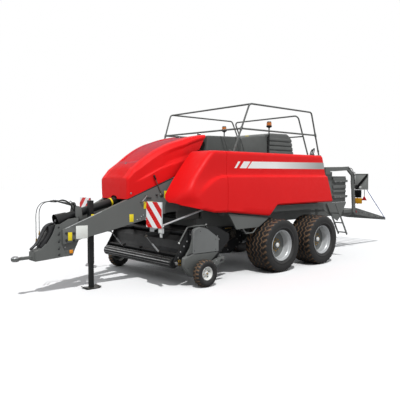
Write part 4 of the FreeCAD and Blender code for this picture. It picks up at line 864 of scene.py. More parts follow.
def door_place(column, row):
    """The rows rise from the stepped foot to the shelf, then level with it, and end on the rim."""
    foot = door_foot(DOOR_XS[column])
    if row == len(FOOT_SHARES) + len(DOOR_ZS):
        return DOOR_XS[column], RIM_Y, DOOR_TOP
    z = ([foot + (CREASE_Z - SHELF - foot) * share for share in FOOT_SHARES] + DOOR_ZS)[row]
    return DOOR_XS[column], skin_y(z, foot), z


bm = sheet(len(DOOR_XS), len(FOOT_SHARES) + len(DOOR_ZS) + 1, door_place)
cut_off(bm, (DOOR_REAR_FOOT_X, 0, DOOR_FOOT), (DOOR_FOOT - DOOR_TOP, 0, DOOR_REAR_TOP_X - DOOR_REAR_FOOT_X))
face_out(bm)
hems = [e for e in bm.edges if e.is_boundary and min(v.co.y for v in e.verts) > 1170]
fold_and_thicken(bm, hems, (0, -32, 0))
door_mesh = bpy.data.meshes.new("door_pressing")
bm.to_mesh(door_mesh)
bm.free()
for side, sign in SIDES.items():
    bm = bmesh.new()
    bm.from_mesh(door_mesh)
    if sign < 0:
        bmesh.ops.scale(bm, vec=(1, -1, 1), verts=bm.verts)
        bmesh.ops.reverse_faces(bm, faces=bm.faces)
    piece("side_door_pressing_" + side, bm, [red_enamel], side + "_door", ("side_door_" + side,), 28)
print("door faces:", len(door_mesh.polygons))

# %% Nose lines
NOSE_FOOT = ((1300, 1248), (1385, 1252), (1694, 1262), (2044, 1334), (2330, 1408), (2440, 1480))
NOSE_FRONT = ((1180, 2330), (1400, 2394), (1450, 2400), (1500, 2390), (1550, 2374), (1605, 2350),
              (1753, 2246), (1878, 2162), (2005, 2058), (2133, 1950), (2243, 1862), (2300, 1812),
              (2372, 1722))
NOSE_CREASE = ((1300, 1914), (1480, 1912), (1640, 1880), (1800, 1806), (1960, 1690), (2080, 1570),
               (2200, 1380), (2600, 700))
NOSE_CORNER, NOSE_BOWL = 120, 270
NOSE_INNER_Y, NOSE_REAR = 662, 1384


def nose_side_y(x, z):
    """How far out the nose's side lies; its shelf fades as it sweeps down."""
    crease = soft_line(NOSE_CREASE, x, 60)
    spread = 20 + 34 * ease(x, 1500, 2050)
    lower = lower_y(z, along_line(NOSE_FOOT, min(x, 2440)))
    upper = band_y(z) + (lower - band_y(z)) * ease(x, 1650, 2050) * (1 - ease(z, 1500, 1880))
    return upper + (lower - upper) * (1 - ease(z, crease - spread, crease + spread)) - top_round(z)


def nose_place(u, z):
    """u runs from 0 at the hood, over the front and round the corner, to 3 at the door's seam."""
    front = soft_line(NOSE_FRONT, z, 60) - 0.8 * top_round(z)
    # The corner is widest at the foot, where the nose is round like a bowl.
    corner = NOSE_CORNER + NOSE_BOWL * (1 - ease(z, 1400, 1740))
    corner_y = nose_side_y(front - corner, z)
    if u <= 1:
        return Vector((front, NOSE_INNER_Y + (corner_y - corner - NOSE_INNER_Y) * u, z))
    if u <= 2:
        turn = (u - 1) * math.pi / 2
        return Vector((front - corner * (1 - math.cos(turn)), corner_y - corner * (1 - math.sin(turn)), z))
    x = front - corner + (NOSE_REAR - front + corner) * (u - 2)
    return Vector((x, nose_side_y(x, z), z))


print("the nose reaches to x =", max(x for _, x in NOSE_FRONT), "mm")

# %% Nose panels
NOSE_US = [0, 0.25, 0.5, 0.75, 0.9] + [1 + i / 8 for i in range(9)] + [2 + (i + 1) / 22 for i in range(22)]
NOSE_ZS = [*range(1180, 2273, 28), *top_heights(6), DOOR_TOP]


def nose_grid_place(column, row):
    """The last row lies inside the top edge, as the rim."""
    place = nose_place(NOSE_US[column], NOSE_ZS[row])
    if row == len(NOSE_ZS) - 1:
        return Vector((min(place.x, 1640), min(place.y, RIM_Y), DOOR_TOP))
    return place


bm = sheet(len(NOSE_US), len(NOSE_ZS), nose_grid_place)
for (x0, z0), (x1, z1) in zip(NOSE_FOOT[1:], NOSE_FOOT[2:]):
    cut_off(bm, (x0, 0, z0), (z1 - z0, 0, x0 - x1))
# The inner lower corner is rounded by two cuts.
for y, z, slope in ((700, 1506, 0.5), (662, 1580, 1.7)):
    cut_off(bm, (0, y, z), (0, -slope, -1))
bmesh.ops.remove_doubles(bm, verts=bm.verts, dist=0.05)
face_out(bm)
hems = [e for e in bm.edges if e.is_boundary and all(v.co.z < DOOR_TOP - 5 and v.co.y > 700 for v in e.verts)]
fold_and_thicken(bm, hems, (-14, -28, 6))
other_side(bm)
piece("nose_pressings", bm, [red_enamel], body_of["nose_panels"], ("nose_panels",), 28)

# A rubber seal runs down the nose's inner edge, against the hood.
SEAL = ((1496, 2352), (1622, 2350), (1735, 2330), (1810, 2284), (1850, 2236), (1870, 2180), (1925, 2120),
        (2040, 2000), (2145, 1875), (2225, 1750), (2290, 1640))
bm = bmesh.new()
bent(bm, [(x, NOSE_INNER_Y - 7, z) for x, z in SEAL], 9, 0, 8)
other_side(bm)
piece("nose_seals", bm, [hose_black], body_of["nose_panels"])
print("nose panels and seals are in place")

# %% [markdown]
# A silver stripe runs along each band, behind two slanted slashes. It is reflective film, so it gets a
# thin body of its own a millimetre proud of the band, and its tone runs from white at the front to grey at
# the rear, as a painted reflection.

# %% Stripe film
silver_film, tree, place = finish("silver_reflective_film")
along = add(tree, "SeparateXYZ", {0: place}).outputs["X"]
# The tone fades from white at the front to grey at the rear: a painted reflection on the film.
painted_reflection_fade = add(tree, "MapRange", {0: along, 1: at(0, 0, 0).x, 2: at(-1500, 0, 0).x, 3: 0.0, 4: 1.0})
tone = add(tree, "Mix", {0: painted_reflection_fade, 6: "#FAFBF8", 7: "#A6A9A6"}, data_type="RGBA")
cells = add(tree, "TexVoronoi", {"Vector": place, "Scale": per_metre(6)})
glint = add(tree, "MapRange", {0: cells, 1: 0.0, 2: 0.6, 3: 0.30, 4: 0.42})
surface = add(tree, "BsdfPrincipled", {"Base Color": tone, "Roughness": glint, "Metallic": 0.15,
                                       "Coat Weight": 0.4, "Coat Roughness": 0.1})
add(tree, "OutputMaterial", {"Surface": surface})

STRIPE_SHAPES = (
    ((1170, 2061), (1077, 2185), (1016, 2186), (1110, 2062)),
    ((1032, 2060), (924, 2188), (736, 2189), (847, 2060)),
    ((812, 2060), (694, 2190), (-1672, 2211), (-1718, 2069)),
)
for side, sign in SIDES.items():
    bm = bmesh.new()
    for outline in STRIPE_SHAPES:
        shape = bmesh.new()
        shape.faces.new([shape.verts.new((x, 0, z)) for x, z in outline])
        bmesh.ops.subdivide_edges(shape, edges=shape.edges, cuts=6, use_grid_fill=True)
        for vertex in shape.verts:
            vertex.co.y = sign * (band_y(vertex.co.z) + 0.9)
        face_out(shape, sign)
        bmesh.ops.solidify(shape, geom=shape.faces[:], thickness=0.8)
        pour(bm, shape)
    piece("door_stripe_" + side, bm, [silver_film], side + "_door")
print("stripes are on both doors")

# %% [markdown]
# ## Tandem wheels
# A flotation tyre has a square shoulder, a low bulging side and a zigzag tread that packs with soil.
# A section through the tyre is drawn once and spun about the axle in many small steps. Then each
# ring of faces is shifted sideways by a zigzag, and notches are pressed into the shoulders. The mesh
# keeps a value called depth, 1 at the bottom of a groove, and the rubber reads it to place the soil.

# %% Tyre section
TYRE_RADIUS, TREAD_DEPTH = 533.5, 11
GROOVES, GROOVE_HALF = (-138, -46, 46, 138), 16
PERIODS, STEPS, ZIGZAG = 28, 8, 24


def crown_radius(y):
    """The tread's radius, a little less towards the shoulders."""
    return TYRE_RADIUS - 10 * (y / 240) ** 2


def both_halves(half, tread):
    """A whole tyre section of (radius, y, depth) points from its outer half and the tread between."""
    return [(radius, -y, deep) for radius, y, deep in reversed(half)] + tread + half


tread = []
for groove in GROOVES:
    for offset, deep in ((-GROOVE_HALF, 0), (3 - GROOVE_HALF, 1), (GROOVE_HALF - 3, 1), (GROOVE_HALF, 0)):
        tread.append((crown_radius(groove + offset) - TREAD_DEPTH * deep, groove + offset, deep))
shoulder = [(crown_radius(y), y, 0) for y in (172, 190, 215, 240)]
WALL = ((516, 258), (500, 266), (470, 272), (430, 275), (390, 272), (372, 268), (366, 271), (358, 271),
        (350, 264), (330, 252), (316, 240), (308, 226), (300, 200))
big_section = both_halves(shoulder + [(radius, y, 0) for radius, y in WALL], tread)


def zigzag(turn):
    """A triangle wave from -1 to 1, once for each tread period."""
    return 4 * abs(turn / math.tau * PERIODS % 1 - 0.5) - 1


def spun_tyre(section, steps, shape_tread):
    """A closed tyre from its section; shape_tread moves each point and says how deep it lies."""
    bm = bmesh.new()
    depth = bm.verts.layers.float.new("depth")
    spots = []
    for radius, y, deep in section:
        spots.append(bm.verts.new((radius, 0, y)))
        spots[-1][depth] = deep
    edges = [bm.edges.new(pair) for pair in zip(spots, spots[1:] + spots[:1])]
    bmesh.ops.spin(bm, geom=spots + edges, cent=(0, 0, 0), axis=Z, angle=math.tau, steps=steps,
                   use_merge=True)
    bmesh.ops.remove_doubles(bm, verts=bm.verts, dist=0.01)
    bmesh.ops.recalc_face_normals(bm, faces=bm.faces)
    for vertex in bm.verts:
        radius = vertex.co.xy.length
        turn = math.atan2(vertex.co.y, vertex.co.x) % math.tau
        new_radius, y, vertex[depth] = shape_tread(radius, vertex.co.z, turn, vertex[depth])
        vertex.co = (vertex.co.x * new_radius / radius, vertex.co.y * new_radius / radius, y)
    mesh = bpy.data.meshes.new("spun_tyre")
    bm.to_mesh(mesh)
    bm.free()
    return mesh


def flotation_tread(radius, y, turn, deep):
    """Zigzags the ribs and presses slanted notches into both shoulders."""
    reach = abs(y)
    if radius >= 505 and 171 < reach < 262 and (turn / math.tau * PERIODS + 0.25 + reach / 190) % 1 < 0.45:
        return radius - (TREAD_DEPTH if reach < 245 else 9), y + ZIGZAG * 0.4 * zigzag(turn), 0.75
    if radius >= 505 and reach <= 200:
        return radius, y + ZIGZAG * zigzag(turn), deep
    return radius, y, deep


big_tyre = spun_tyre(big_section, PERIODS * STEPS, flotation_tread)
print("tyre faces:", len(big_tyre.polygons))

# %% Rims and hubs
RIM_SECTION = ((308, 226), (308, 238), (302, 243), (294, 240), (288, 226), (284, 200), (275, 190),
               (270, 178), (268, 84), (261, 67), (246, 60), (158, 60), (148, 66), (90, 66), (90, 50),
               (246, 46), (262, 30), (266, -180), (278, -200), (288, -238), (300, -243), (308, -238),
               (308, -224), (296, -218), (290, 0), (296, 216))
HUB_SECTION = ((0, -60), (78, -60), (78, 92), (70, 98), (58, 100), (58, 112), (0, 112))
HUB_RING = ((79, 70), (84, 72), (84, 84), (79, 86))
CAP_SECTION = ((0, 108), (46, 108), (46, 128), (40, 137), (24, 141), (0, 142))
DISC_RADIUS, NUT_CIRCLE, NUT_COUNT = 264, 122, 10


def on_circle(centre, radius, turn, y):
    """A place on a circle round an axle, at a distance along it."""
    return centre + Vector((math.cos(turn) * radius, y, math.sin(turn) * radius))


def tread_piece(name, mesh, node, outward):
    """A spun tyre that stands for its node."""
    bm = bmesh.new()
    bm.from_mesh(mesh)
    bmesh.ops.transform(bm, matrix=aim(middle_of(node), outward), verts=bm.verts)
    piece(name, bm, [tyre_black], body_of[node], (node,), 40)


def wheel(side, axle):
    """A tandem wheel: tyre, then rim with its nuts, hub and valve."""
    sign = SIDES[side]
    outward = Y * sign
    node = f"tyre_{side}_{axle}"
    centre = middle_of(node)
    tread_piece(f"tread_{side}_{axle}", big_tyre, node, outward)
    bm = bmesh.new()
    turned(bm, RIM_SECTION, centre, outward, 0, 64)
    # The disc is grey and the bowl of the rim round it is silver: the grey is partly the disc's own paint and
    # partly painted shade deep in the dish.
    for face in bm.faces:
        if (face.calc_center_median() - centre).xz.length < DISC_RADIUS:
            face.material_index = 1
    turned(bm, HUB_SECTION, centre, outward, 1)
    turned(bm, HUB_RING, centre, outward, 2)
    turned(bm, CAP_SECTION, centre, outward, 3)
    for i in range(NUT_COUNT):
        spot = on_circle(centre, NUT_CIRCLE, math.tau * (i + 0.5) / NUT_COUNT, sign * 60)
        bolt(bm, spot, outward, 30, 2)
        rod(bm, spot, spot + outward * 30, 8, 2, 8)
    valve = centre + Vector((0, sign * 208, 276))
    rod(bm, valve, valve + Vector((0, sign * 34, -16)), 5, 1, 10)
    return piece(f"wheel_disc_{side}_{axle}", bm, [silver_enamel, grey_enamel, gold_zinc, white_cap],
                 body_of[node], (f"rim_{side}_{axle}",), 30)


discs = [wheel(side, axle) for side in SIDES for axle in ("front", "rear")]
print("rim faces:", len(discs[0].data.polygons))

# %% [markdown]
# ## Gauge wheels
# The pick-up runs on two small wheels with a rounded tyre, short tread blocks that keep soil between
# them, and a pressed rim whose hand holes are flat black discs, painted shade in the openings.

# %% Gauge tyres and rims
GAUGE_RADIUS, GAUGE_BLOCKS, GAUGE_TREAD = 238, 22, 7
GAUGE_HALF = ((238, 22), (236, 40), (232, 54), (226, 64), (216, 72), (198, 78), (176, 80), (158, 77),
              (140, 70), (126, 62), (119, 56), (116, 44))
GAUGE_CROWN = [(GAUGE_RADIUS, -10, 0.1), (GAUGE_RADIUS - GAUGE_TREAD, -7, 1),
               (GAUGE_RADIUS - GAUGE_TREAD, 7, 1), (GAUGE_RADIUS, 10, 0.1)]
GAUGE_RIM = ((118, 40), (118, 58), (113, 62), (106, 58), (103, 44), (101, 20), (96, 12), (60, 10), (52, 18),
             (44, 20), (40, 20), (40, 4), (98, -2), (104, -40), (108, -58), (114, -62), (118, -58),
             (118, -40), (108, 0))


def gauge_tread(radius, y, turn, deep):
    """Cuts short slanted notches between the tread blocks."""
    phase = (turn / math.tau * GAUGE_BLOCKS + (0.5 if y > 0 else 0)) % 1
    if radius > 222 and abs(y) > 15 and phase < 0.4:
        return radius - GAUGE_TREAD, y, 1.0
    return radius, y, deep


gauge_section = both_halves([(radius, y, 0) for radius, y in GAUGE_HALF], GAUGE_CROWN)
small_tyre = spun_tyre(gauge_section, GAUGE_BLOCKS * 5, gauge_tread)
for side, sign in SIDES.items():
    node = "gauge_tyre_" + side
    outward = Y * sign
    centre = middle_of(node)
    tread_piece("gauge_tread_" + side, small_tyre, node, outward)
    bm = bmesh.new()
    turned(bm, GAUGE_RIM, centre, outward, 0, 48)
    turned(bm, ((0, -48), (38, -48), (38, 40), (30, 46), (0, 46)), centre, outward, 0, 28)
    turned(bm, ((0, 44), (16, 44), (16, 50), (10, 54), (0, 55)), centre, outward, 1, 20)
    for i in range(5):
        turn = math.tau * i / 5 + 0.3
        # Each hand hole is a flat black disc on the rim: painted shade where the opening is.
        knob(bm, on_circle(centre, 78, turn, sign * 11.5), outward, 13, 13, 1.5, 1.5, 2)
        bolt(bm, on_circle(centre, 58, turn + 0.63, sign * 13), outward, 13, 1)
    piece("gauge_disc_" + side, bm, [white_cap, gold_zinc, black_enamel], body_of[node],
          ("gauge_rim_" + side,), 30)
print("gauge tyre faces:", len(small_tyre.polygons))

# %% [markdown]
# ## Pick-up covers
# The pick-up's ends are hidden by covers moulded in ABS. The upper one is a shallow box with a wide
# chamfer at the front, the lower one a shell that sweeps down round the reel, and a black gap parts
# them. Each is cut to its outline as thick plate, and wide bevels turn it into a moulding.

# %% Upper and lower covers
COVER_BACK, COVER_FACE = 1156.5, 1214.5
UPPER_COVER = ((2004, 1023), (1900, 1000), (1832, 972), (1568, 800), (1568, 562), (2172, 570), (2169, 940),
               (2150, 985), (2080, 1012))
LOWER_COVER = ((1560, 548), (1688, 440), (1960, 290), (2166, 162), (2230, 172), (2296, 222), (2380, 330),
               (2407, 390), (2391, 520), (2232, 574), (2100, 556))
INNER_COVER = ((1700, 800), (1700, 520), (2220, 190), (2345, 330), (2375, 430), (2310, 565), (2225, 665),
               (2180, 800))


def moulding(bm, outline, high, chamfer, front, finish=0):
    """Plate cut to an outline, with a wide chamfer forward of the x called front and rounding all over."""
    shape = plate(outline, COVER_BACK, high)
    wide = [e for e in shape.edges if all(abs(v.co.y - high) < 0.1 and v.co.x > front for v in e.verts)]
    round_edges(shape, chamfer, 1, wide)
    round_edges(shape, 11, 3, angle=14)
    pour(bm, shape, finish)


bm = bmesh.new()
moulding(bm, UPPER_COVER, COVER_FACE, 52, 2070)
# The lower and the inner cover take the darker copy of the grey ABS, as painted shade.
moulding(bm, LOWER_COVER, COVER_FACE - 5, 44, 2180, 2)
moulding(bm, INNER_COVER, COVER_BACK + 22, 8, 2180, 2)
slab(bm, ((1620, 548), (2300, 548), (2214, 580), (1590, 572)), COVER_BACK + 4, COVER_FACE - 14, "Y", 1, 2)
for x, z in ((1640, 780), (1640, 600), (2010, 950), (2150, 620), (2040, 440), (2290, 330)):
    knob(bm, (x, COVER_FACE - (6 if z < 500 else 1), z), Y, 9, 8, 4, 5, 1, 12)
other_side(bm)
piece("pickup_mouldings", bm, [grey_abs, black_abs, painted_shade_abs], "pickup",
      ("pickup_side_covers",), 30)
print("mouldings hide the pick-up's ends")

# %% [markdown]
# ## Reel, tines and stripper bands
# Spring tines sweep the crop up, and curved bands between them strip it off again. A band is a strip
# of sheet spun part of the way round the reel. A tine is wire with only a few faces, because there
# are over two hundred of them.

# %% Stripper bands and tines
REEL_PLACE = Vector((1900, 0, 430))
REEL_HALF, BANDS, BAND_WIDTH, BAND_RADIUS = 1110, 30, 46, 196
BAND_PITCH = 2 * REEL_HALF / BANDS
BAND_START, BAND_TURN = Matrix.Rotation(math.radians(88), 3, "Y"), math.radians(-235)
TINE_BARS, TINE_LENGTH, TINE_MIDDLE = 5, 70, 195
bm = bmesh.new()
for i in range(BANDS):
    y = -REEL_HALF + BAND_PITCH * (i + 0.5)
    shape = bmesh.new()
    strip = [shape.verts.new((BAND_RADIUS, y + side * BAND_WIDTH / 2, 0)) for side in (-1, 1)]
    edge = shape.edges.new(strip)
    bmesh.ops.spin(shape, geom=strip + [edge], cent=(0, 0, 0), axis=Y, angle=BAND_TURN, steps=18)
    bmesh.ops.rotate(shape, verts=shape.verts, cent=(0, 0, 0), matrix=BAND_START)
    bmesh.ops.solidify(shape, geom=shape.faces[:], thickness=2.5)
    bmesh.ops.recalc_face_normals(shape, faces=shape.faces)
    pour(bm, shape, 0, Matrix.Translation(REEL_PLACE))
piece("stripper_bands", bm, [black_enamel], "pickup")

bm = bmesh.new()
tine = bmesh.new()
bmesh.ops.create_cone(tine, cap_ends=True, segments=5, radius1=3, radius2=2.6, depth=TINE_LENGTH,
                      matrix=Matrix.Translation((0, 0, TINE_MIDDLE)))
tine_mesh = bpy.data.meshes.new("tine")
tine.to_mesh(tine_mesh)
tine.free()
for bar in range(TINE_BARS):
    lean = Matrix.Rotation(math.pi / 2 - math.radians(72 * bar + 18), 4, "Y")
    for i in range(BANDS - 1):
        y = -REEL_HALF + BAND_PITCH * (i + 1)
        for side in (-7, 7):
            shape = bmesh.new()
            shape.from_mesh(tine_mesh)
            pour(bm, shape, 0, Matrix.Translation(REEL_PLACE + Y * (y + side)) @ lean)
piece("reel_tines", bm, [bright_steel], "reel")
print("bands:", BANDS, "tines:", 2 * TINE_BARS * (BANDS - 1))

# %% [markdown]
# ## Crop roller and wind guard
# The roller that presses the windrow flat is rolled from sheet with long ribs, so it grips the crop.
# Its section is a circle whose points lie in and out by turns, drawn out along the roller.

# %% Ribbed roller
ROLLER_RADIUS, ROLLER_HALF, RIBS, RIB_HEIGHT = 86, 1064, 12, 8.5
ROLLER_END = ((0, 0), (92, 0), (95, 4), (95, 14), (90, 18), (40, 20), (0, 20))
roller_mid = middle_of("crop_roller")
bm = bmesh.new()
shape = bmesh.new()
ring = bmesh.ops.create_circle(shape, cap_ends=True, segments=RIBS * 8, radius=ROLLER_RADIUS)["verts"]
for vertex in ring:
    part = math.atan2(vertex.co.y, vertex.co.x) % (math.tau / RIBS) / (math.tau / RIBS)
    vertex.co *= (ROLLER_RADIUS + RIB_HEIGHT * ease(1 - abs(2 * part - 1), 0.45, 0.8)) / ROLLER_RADIUS
draw_out(shape, Z * 2 * ROLLER_HALF)
# The ribs' crests are bare steel: partly rubbed bright by the crop, partly painted highlights that draw the
# roller's long light streaks.
for face in shape.faces:
    if face.calc_center_median().xy.length > 92 and abs(face.normal.z) < 0.5:
        face.material_index = 1
pour(bm, shape, None, aim(roller_mid - Y * ROLLER_HALF, Y))
for sign in (1, -1):
    turned(bm, ROLLER_END, roller_mid + Y * sign * 1046, Y * sign, 0, 40)
    rod(bm, roller_mid + Y * sign * 1060, roller_mid + Y * sign * 1089, 24, 1, 20)
piece("ribbed_roller", bm, [black_enamel, bright_steel], "roller", ("crop_roller",), 40)
print("the roller has", RIBS, "ribs")

# %% Wind guard fittings
bm = bmesh.new()
for x, z in ((2230, 780), (2300, 700), (2380, 610), (2430, 520), (2400, 470)):
    bolt(bm, (x, 1110, z), Y, 22, 0)
rod(bm, roller_mid + Y * 1110, roller_mid + Y * 1128, 34, 1, 24)
bolt(bm, roller_mid + Y * 1128, Y, 44, 0)
for back in (58, 94):
    foot = roller_mid + Vector((-back, 1121, -40))
    rod(bm, foot, foot + Z * 88, 8, 2, 12)
    knob(bm, foot + Z * 82, Z, 15, 15, 10, 10, 2, 6)
block(bm, roller_mid + Vector((-106, 1110, -12)), roller_mid + Vector((-46, 1134, 8)), 1, 3)
for y in (1090, 545, 0):
    block(bm, roller_mid + Vector((-88, y - 22, 92)), roller_mid + Vector((-50, y + 22, 170)), 1, 4)
other_side(bm)
piece("guard_fittings", bm, [bright_steel, black_enamel, gold_zinc], "windguard")

# Gas struts hold the guard: the bright rod slides in the silver barrel.
STRUT_HEAD, STRUT_FOOT = Vector((2722, 580, 868)), Vector((2446, 580, 566))
strut_run = (STRUT_FOOT - STRUT_HEAD).normalized()
bm = bmesh.new()
rod(bm, STRUT_HEAD + strut_run * 20, STRUT_HEAD + strut_run * 222, 10, 1, 14)
rod(bm, STRUT_HEAD - Y * 17, STRUT_HEAD + Y * 17, 13, 0, 16)
block(bm, (2700, 560, 846), (2740, 566, 892), 0, 2)
block(bm, (2700, 594, 846), (2740, 600, 892), 0, 2)
other_side(bm)
piece("strut_rods", bm, [dark_steel, bright_steel], "pickup")
bm = bmesh.new()
rod(bm, STRUT_FOOT, STRUT_HEAD + strut_run * 212, 16, 0, 18)
rod(bm, STRUT_FOOT - Y * 20, STRUT_FOOT + Y * 20, 14, 1, 16)
other_side(bm)
piece("strut_barrels", bm, [silver_enamel, dark_steel], "windguard")
print("the roller, the guard's fittings and its struts are in place")

# %% Pick-up handle and bolts
GRIP_END = ((0, -16), (10, -14), (16, -6), (17, 2), (13, 11), (0, 16))
bm = bmesh.new()
bent(bm, [(1800, 1142, 992), (1820, 1142, 1036), (1850, 1142, 1040), (2200, 1142, 1040), (2250, 1142, 1028),
          (2275, 1142, 994), (2430, 1142, 782)], 12.8, 2, 16)
turned(bm, GRIP_END, (2436, 1142, 772), (0.6, 0, -0.8), 0, 20)
knob(bm, (1806, 1142, 1052), Z, 14, 12, 8, 10, 0, 20)
for x, z in ((1490, 760), (1530, 820), (2186, 900), (2150, 760)):
    bolt(bm, (x, 1144, z), Y, 20, 1)
piece("pickup_handle_ends", bm, [white_cap, bright_steel, grey_enamel], "pickup")
bm = bmesh.new()
for x, z in ((1476, 412), (1640, 396), (1700, 340)):
    bolt(bm, (x, 1236, z), Y, 24, 0)
# The arm behind the wheel ends in a pressed bar; its long slot for setting the height is drawn as a thin
# black sheet on the bar, painted shade where the opening is.
slab(bm, ((1440, 360), (1434, 452), (1490, 462), (1760, 350), (1730, 262)), 1222, 1236, "Y", 1, 5)
slab(bm, ((1462, 386), (1458, 424), (1484, 428), (1560, 394), (1548, 362)), 1235, 1237, "Y", 2, 0)
other_side(bm)
piece("gauge_arm_bolts", bm, [bright_steel, grey_enamel, black_abs], "pickup")
print("the pick-up is dressed")

# %% [markdown]
# ## Warning boards
# The boards that mark the machine's width are aluminium faced with red and white reflective film.
# The stripes slope down and outwards at 45 degrees. They are drawn by the material: the height plus
# the distance from the middle, divided by the pitch, says which colour lies there.

# %% Striped film
# Both are measured across the stripes, the start from the ground under the machine's middle.
STRIPE_PITCH, STRIPE_START = 192, 1725
STRIPE_SHIFT = 1 - STRIPE_START / STRIPE_PITCH % 1
striped_film, tree, place = finish("red_white_reflective_film")
parts = add(tree, "SeparateXYZ", {0: place})
out = add(tree, "Math", {0: parts.outputs["Y"]}, operation="ABSOLUTE")
slant = add(tree, "Math", {0: out, 1: parts.outputs["Z"]}, operation="ADD")
count = add(tree, "Math", {0: slant, 1: per_metre(STRIPE_PITCH) / math.sqrt(2), 2: STRIPE_SHIFT},
            operation="MULTIPLY_ADD")
share = add(tree, "Math", {0: count}, operation="FRACT")
red_here = add(tree, "Math", {0: share, 1: 0.5}, operation="GREATER_THAN")
tone = add(tree, "Mix", {0: red_here, 6: "#FFFFFF", 7: "#E01414"}, data_type="RGBA")
# The film's glass beads lie in cells about 5 mm across.
cells = add(tree, "TexVoronoi", {"Vector": place, "Scale": per_metre(5)}, feature="DISTANCE_TO_EDGE")
beads = add(tree, "MapRange", {0: cells, 1: 0.0, 2: 0.1, 3: 0.32, 4: 0.24})
seams = add(tree, "Bump", {"Strength": 0.15, "Distance": 0.0005, "Height": cells})
surface = add(tree, "BsdfPrincipled", {"Base Color": tone, "Roughness": beads, "Coat Weight": 0.1,
                                       "Coat Roughness": 0.2, "Normal": seams})
add(tree, "OutputMaterial", {"Surface": surface})
print("a red and a white stripe are", STRIPE_PITCH, "mm wide together")

# %% Board facings
BOARD = ((922, 1072), (1336, 1072), (1336, 1492), (922, 1492))
bm = bmesh.new()
for low, high in ((2955, 2956.5), (2933.5, 2935)):
    slab(bm, BOARD, low, high, "X", 0, 0)
block(bm, (2940, 1240, 996), (2948, 1328, 1066), 1, 2)
block(bm, (2930, 1264, 926), (2939, 1304, 988), 1, 4)
for z in (1130, 1420):
    knob(bm, (2956, 1000, z), X, 9, 7, 3, 4, 2, 12)
other_side(bm)
piece("front_board_film", bm, [striped_film, white_cap, bright_steel], body_of["front_warning_boards"])
print("boards are striped")

# %% [markdown]
# ## Drawbar
# The beams run together at the front in a fabricated head: side plates, a column of plugs, a bolted
# splice and a trough for hoses. Stickers and plates are blank. Things on a beam's slanted side are
# placed by their distance along the machine, with a function that says how far out the beam is.

# %% Places on a beam
BEAM_FRONT, BEAM_BACK = Vector((4100, 190)), Vector((2000, 620))
BEAM_SPREAD = (BEAM_BACK.y - BEAM_FRONT.y) / (BEAM_FRONT.x - BEAM_BACK.x)
BEAM_OUT = Vector((BEAM_SPREAD, 1, 0)).normalized()


def beam_y(x):
    """How far out the drawbar beam's side lies."""
    return BEAM_FRONT.y + (BEAM_FRONT.x - max(x, BEAM_BACK.x)) * BEAM_SPREAD


def on_beam(bm, x0, x1, z0, z1, thick, finish):
    """A thin plate on the left beam's outer side, between two places along it."""
    outline = ((x0, beam_y(x0)), (x1, beam_y(x1)), (x1, beam_y(x1) + thick), (x0, beam_y(x0) + thick))
    slab(bm, outline, z0, z1, "Z", finish, 1.5)


print("each beam spreads by", round(BEAM_SPREAD, 3), "of its length")

# %% Stickers, plates and bolts on the beams
bm = bmesh.new()
on_beam(bm, 4004, 3940, 862, 996, 8, 0)
for x0, x1, z0, z1 in ((2955, 2880, 1116, 1250), (2690, 2634, 1338, 1462), (2600, 2520, 1440, 1466),
                       (2296, 2236, 1518, 1648)):
    on_beam(bm, x0, x1, z0, z1, 2, 0)
on_beam(bm, 3874, 3682, 880, 1096, 3, 1)
for x, z in ((4030, 985), (3910, 978), (4031, 870), (3911, 866)):
    bolt(bm, (x, beam_y(x) + 5, z), BEAM_OUT, 30, 3)
for x, z in ((2740, 1205), (2700, 1230), (2760, 1160), (2810, 1150), (2650, 1180)):
    bolt(bm, (x, beam_y(x), z), BEAM_OUT, 18, 2)
for x in (2625, 2595, 2565):
    rod(bm, (x, beam_y(x), 1528), (x, beam_y(x) + 26, 1528), 11, 3, 14)
rod(bm, (2451, beam_y(2451), 1576), (2451, beam_y(2451) + 30, 1576), 15, 3, 16)
block(bm, (3560, 268, 1246), (3612, 282, 1276), 0, 2)
piece("beam_stickers", bm, [yellow_film, white_film, bright_steel, black_abs], body_of["drawbar_beams"])

GRAB_BAR = ((2653, -2, 1569), (2651, 45.59, 1573), (2670, 48, 1552), (2732, 48, 1480), (2750, 46, 1458),
            (2748, -2, 1461))
bm = bmesh.new()
bent(bm, [(x, beam_y(x) + out, z) for x, out, z in GRAB_BAR], 9, 0)
piece("beam_grab_bar", bm, [bright_steel], body_of["drawbar_beams"])

LEVER_FOOT = Vector((2354, 560, 1574))
LEVER_NECK = Vector((2474, 545, 1854))
LEVER_TOP = Vector((2512, 540, 1936))
LEVER_BOSS = ((0, 0), (34, 0), (34, 12), (22, 20), (0, 20))
LEVER_GRIP = ((0, 0), (12, 0), (17, 14), (15, 46), (18, 74), (14, 88), (0, 92))
bm = bmesh.new()
turned(bm, LEVER_BOSS, (2354, beam_y(2354) - 1, 1574), BEAM_OUT, 1, 24)
rod(bm, LEVER_FOOT, LEVER_NECK, 9, 1, 12)
turned(bm, LEVER_GRIP, LEVER_NECK - (LEVER_TOP - LEVER_NECK) * 0.05, LEVER_TOP - LEVER_NECK, 0, 18)
piece("lever_with_grip", bm, [lamp_black, dark_steel], body_of["drawbar_beams"])
print("the beams have their plates, a grab bar and a lever")

# %% Beam noses, eye bushing and jack foot
bm = bmesh.new()
shape = bmesh.new()
slab(shape, ((4080, 803), (4080, 1041), (3960, 1088), (3700, 900), (3860, 852)), -62, 1.2, "Y", 0, 4)
for vertex in shape.verts:
    vertex.co.y += beam_y(vertex.co.x)
pour(bm, shape)
other_side(bm)
piece("beam_noses", bm, [grey_enamel], body_of["drawbar_beams"])

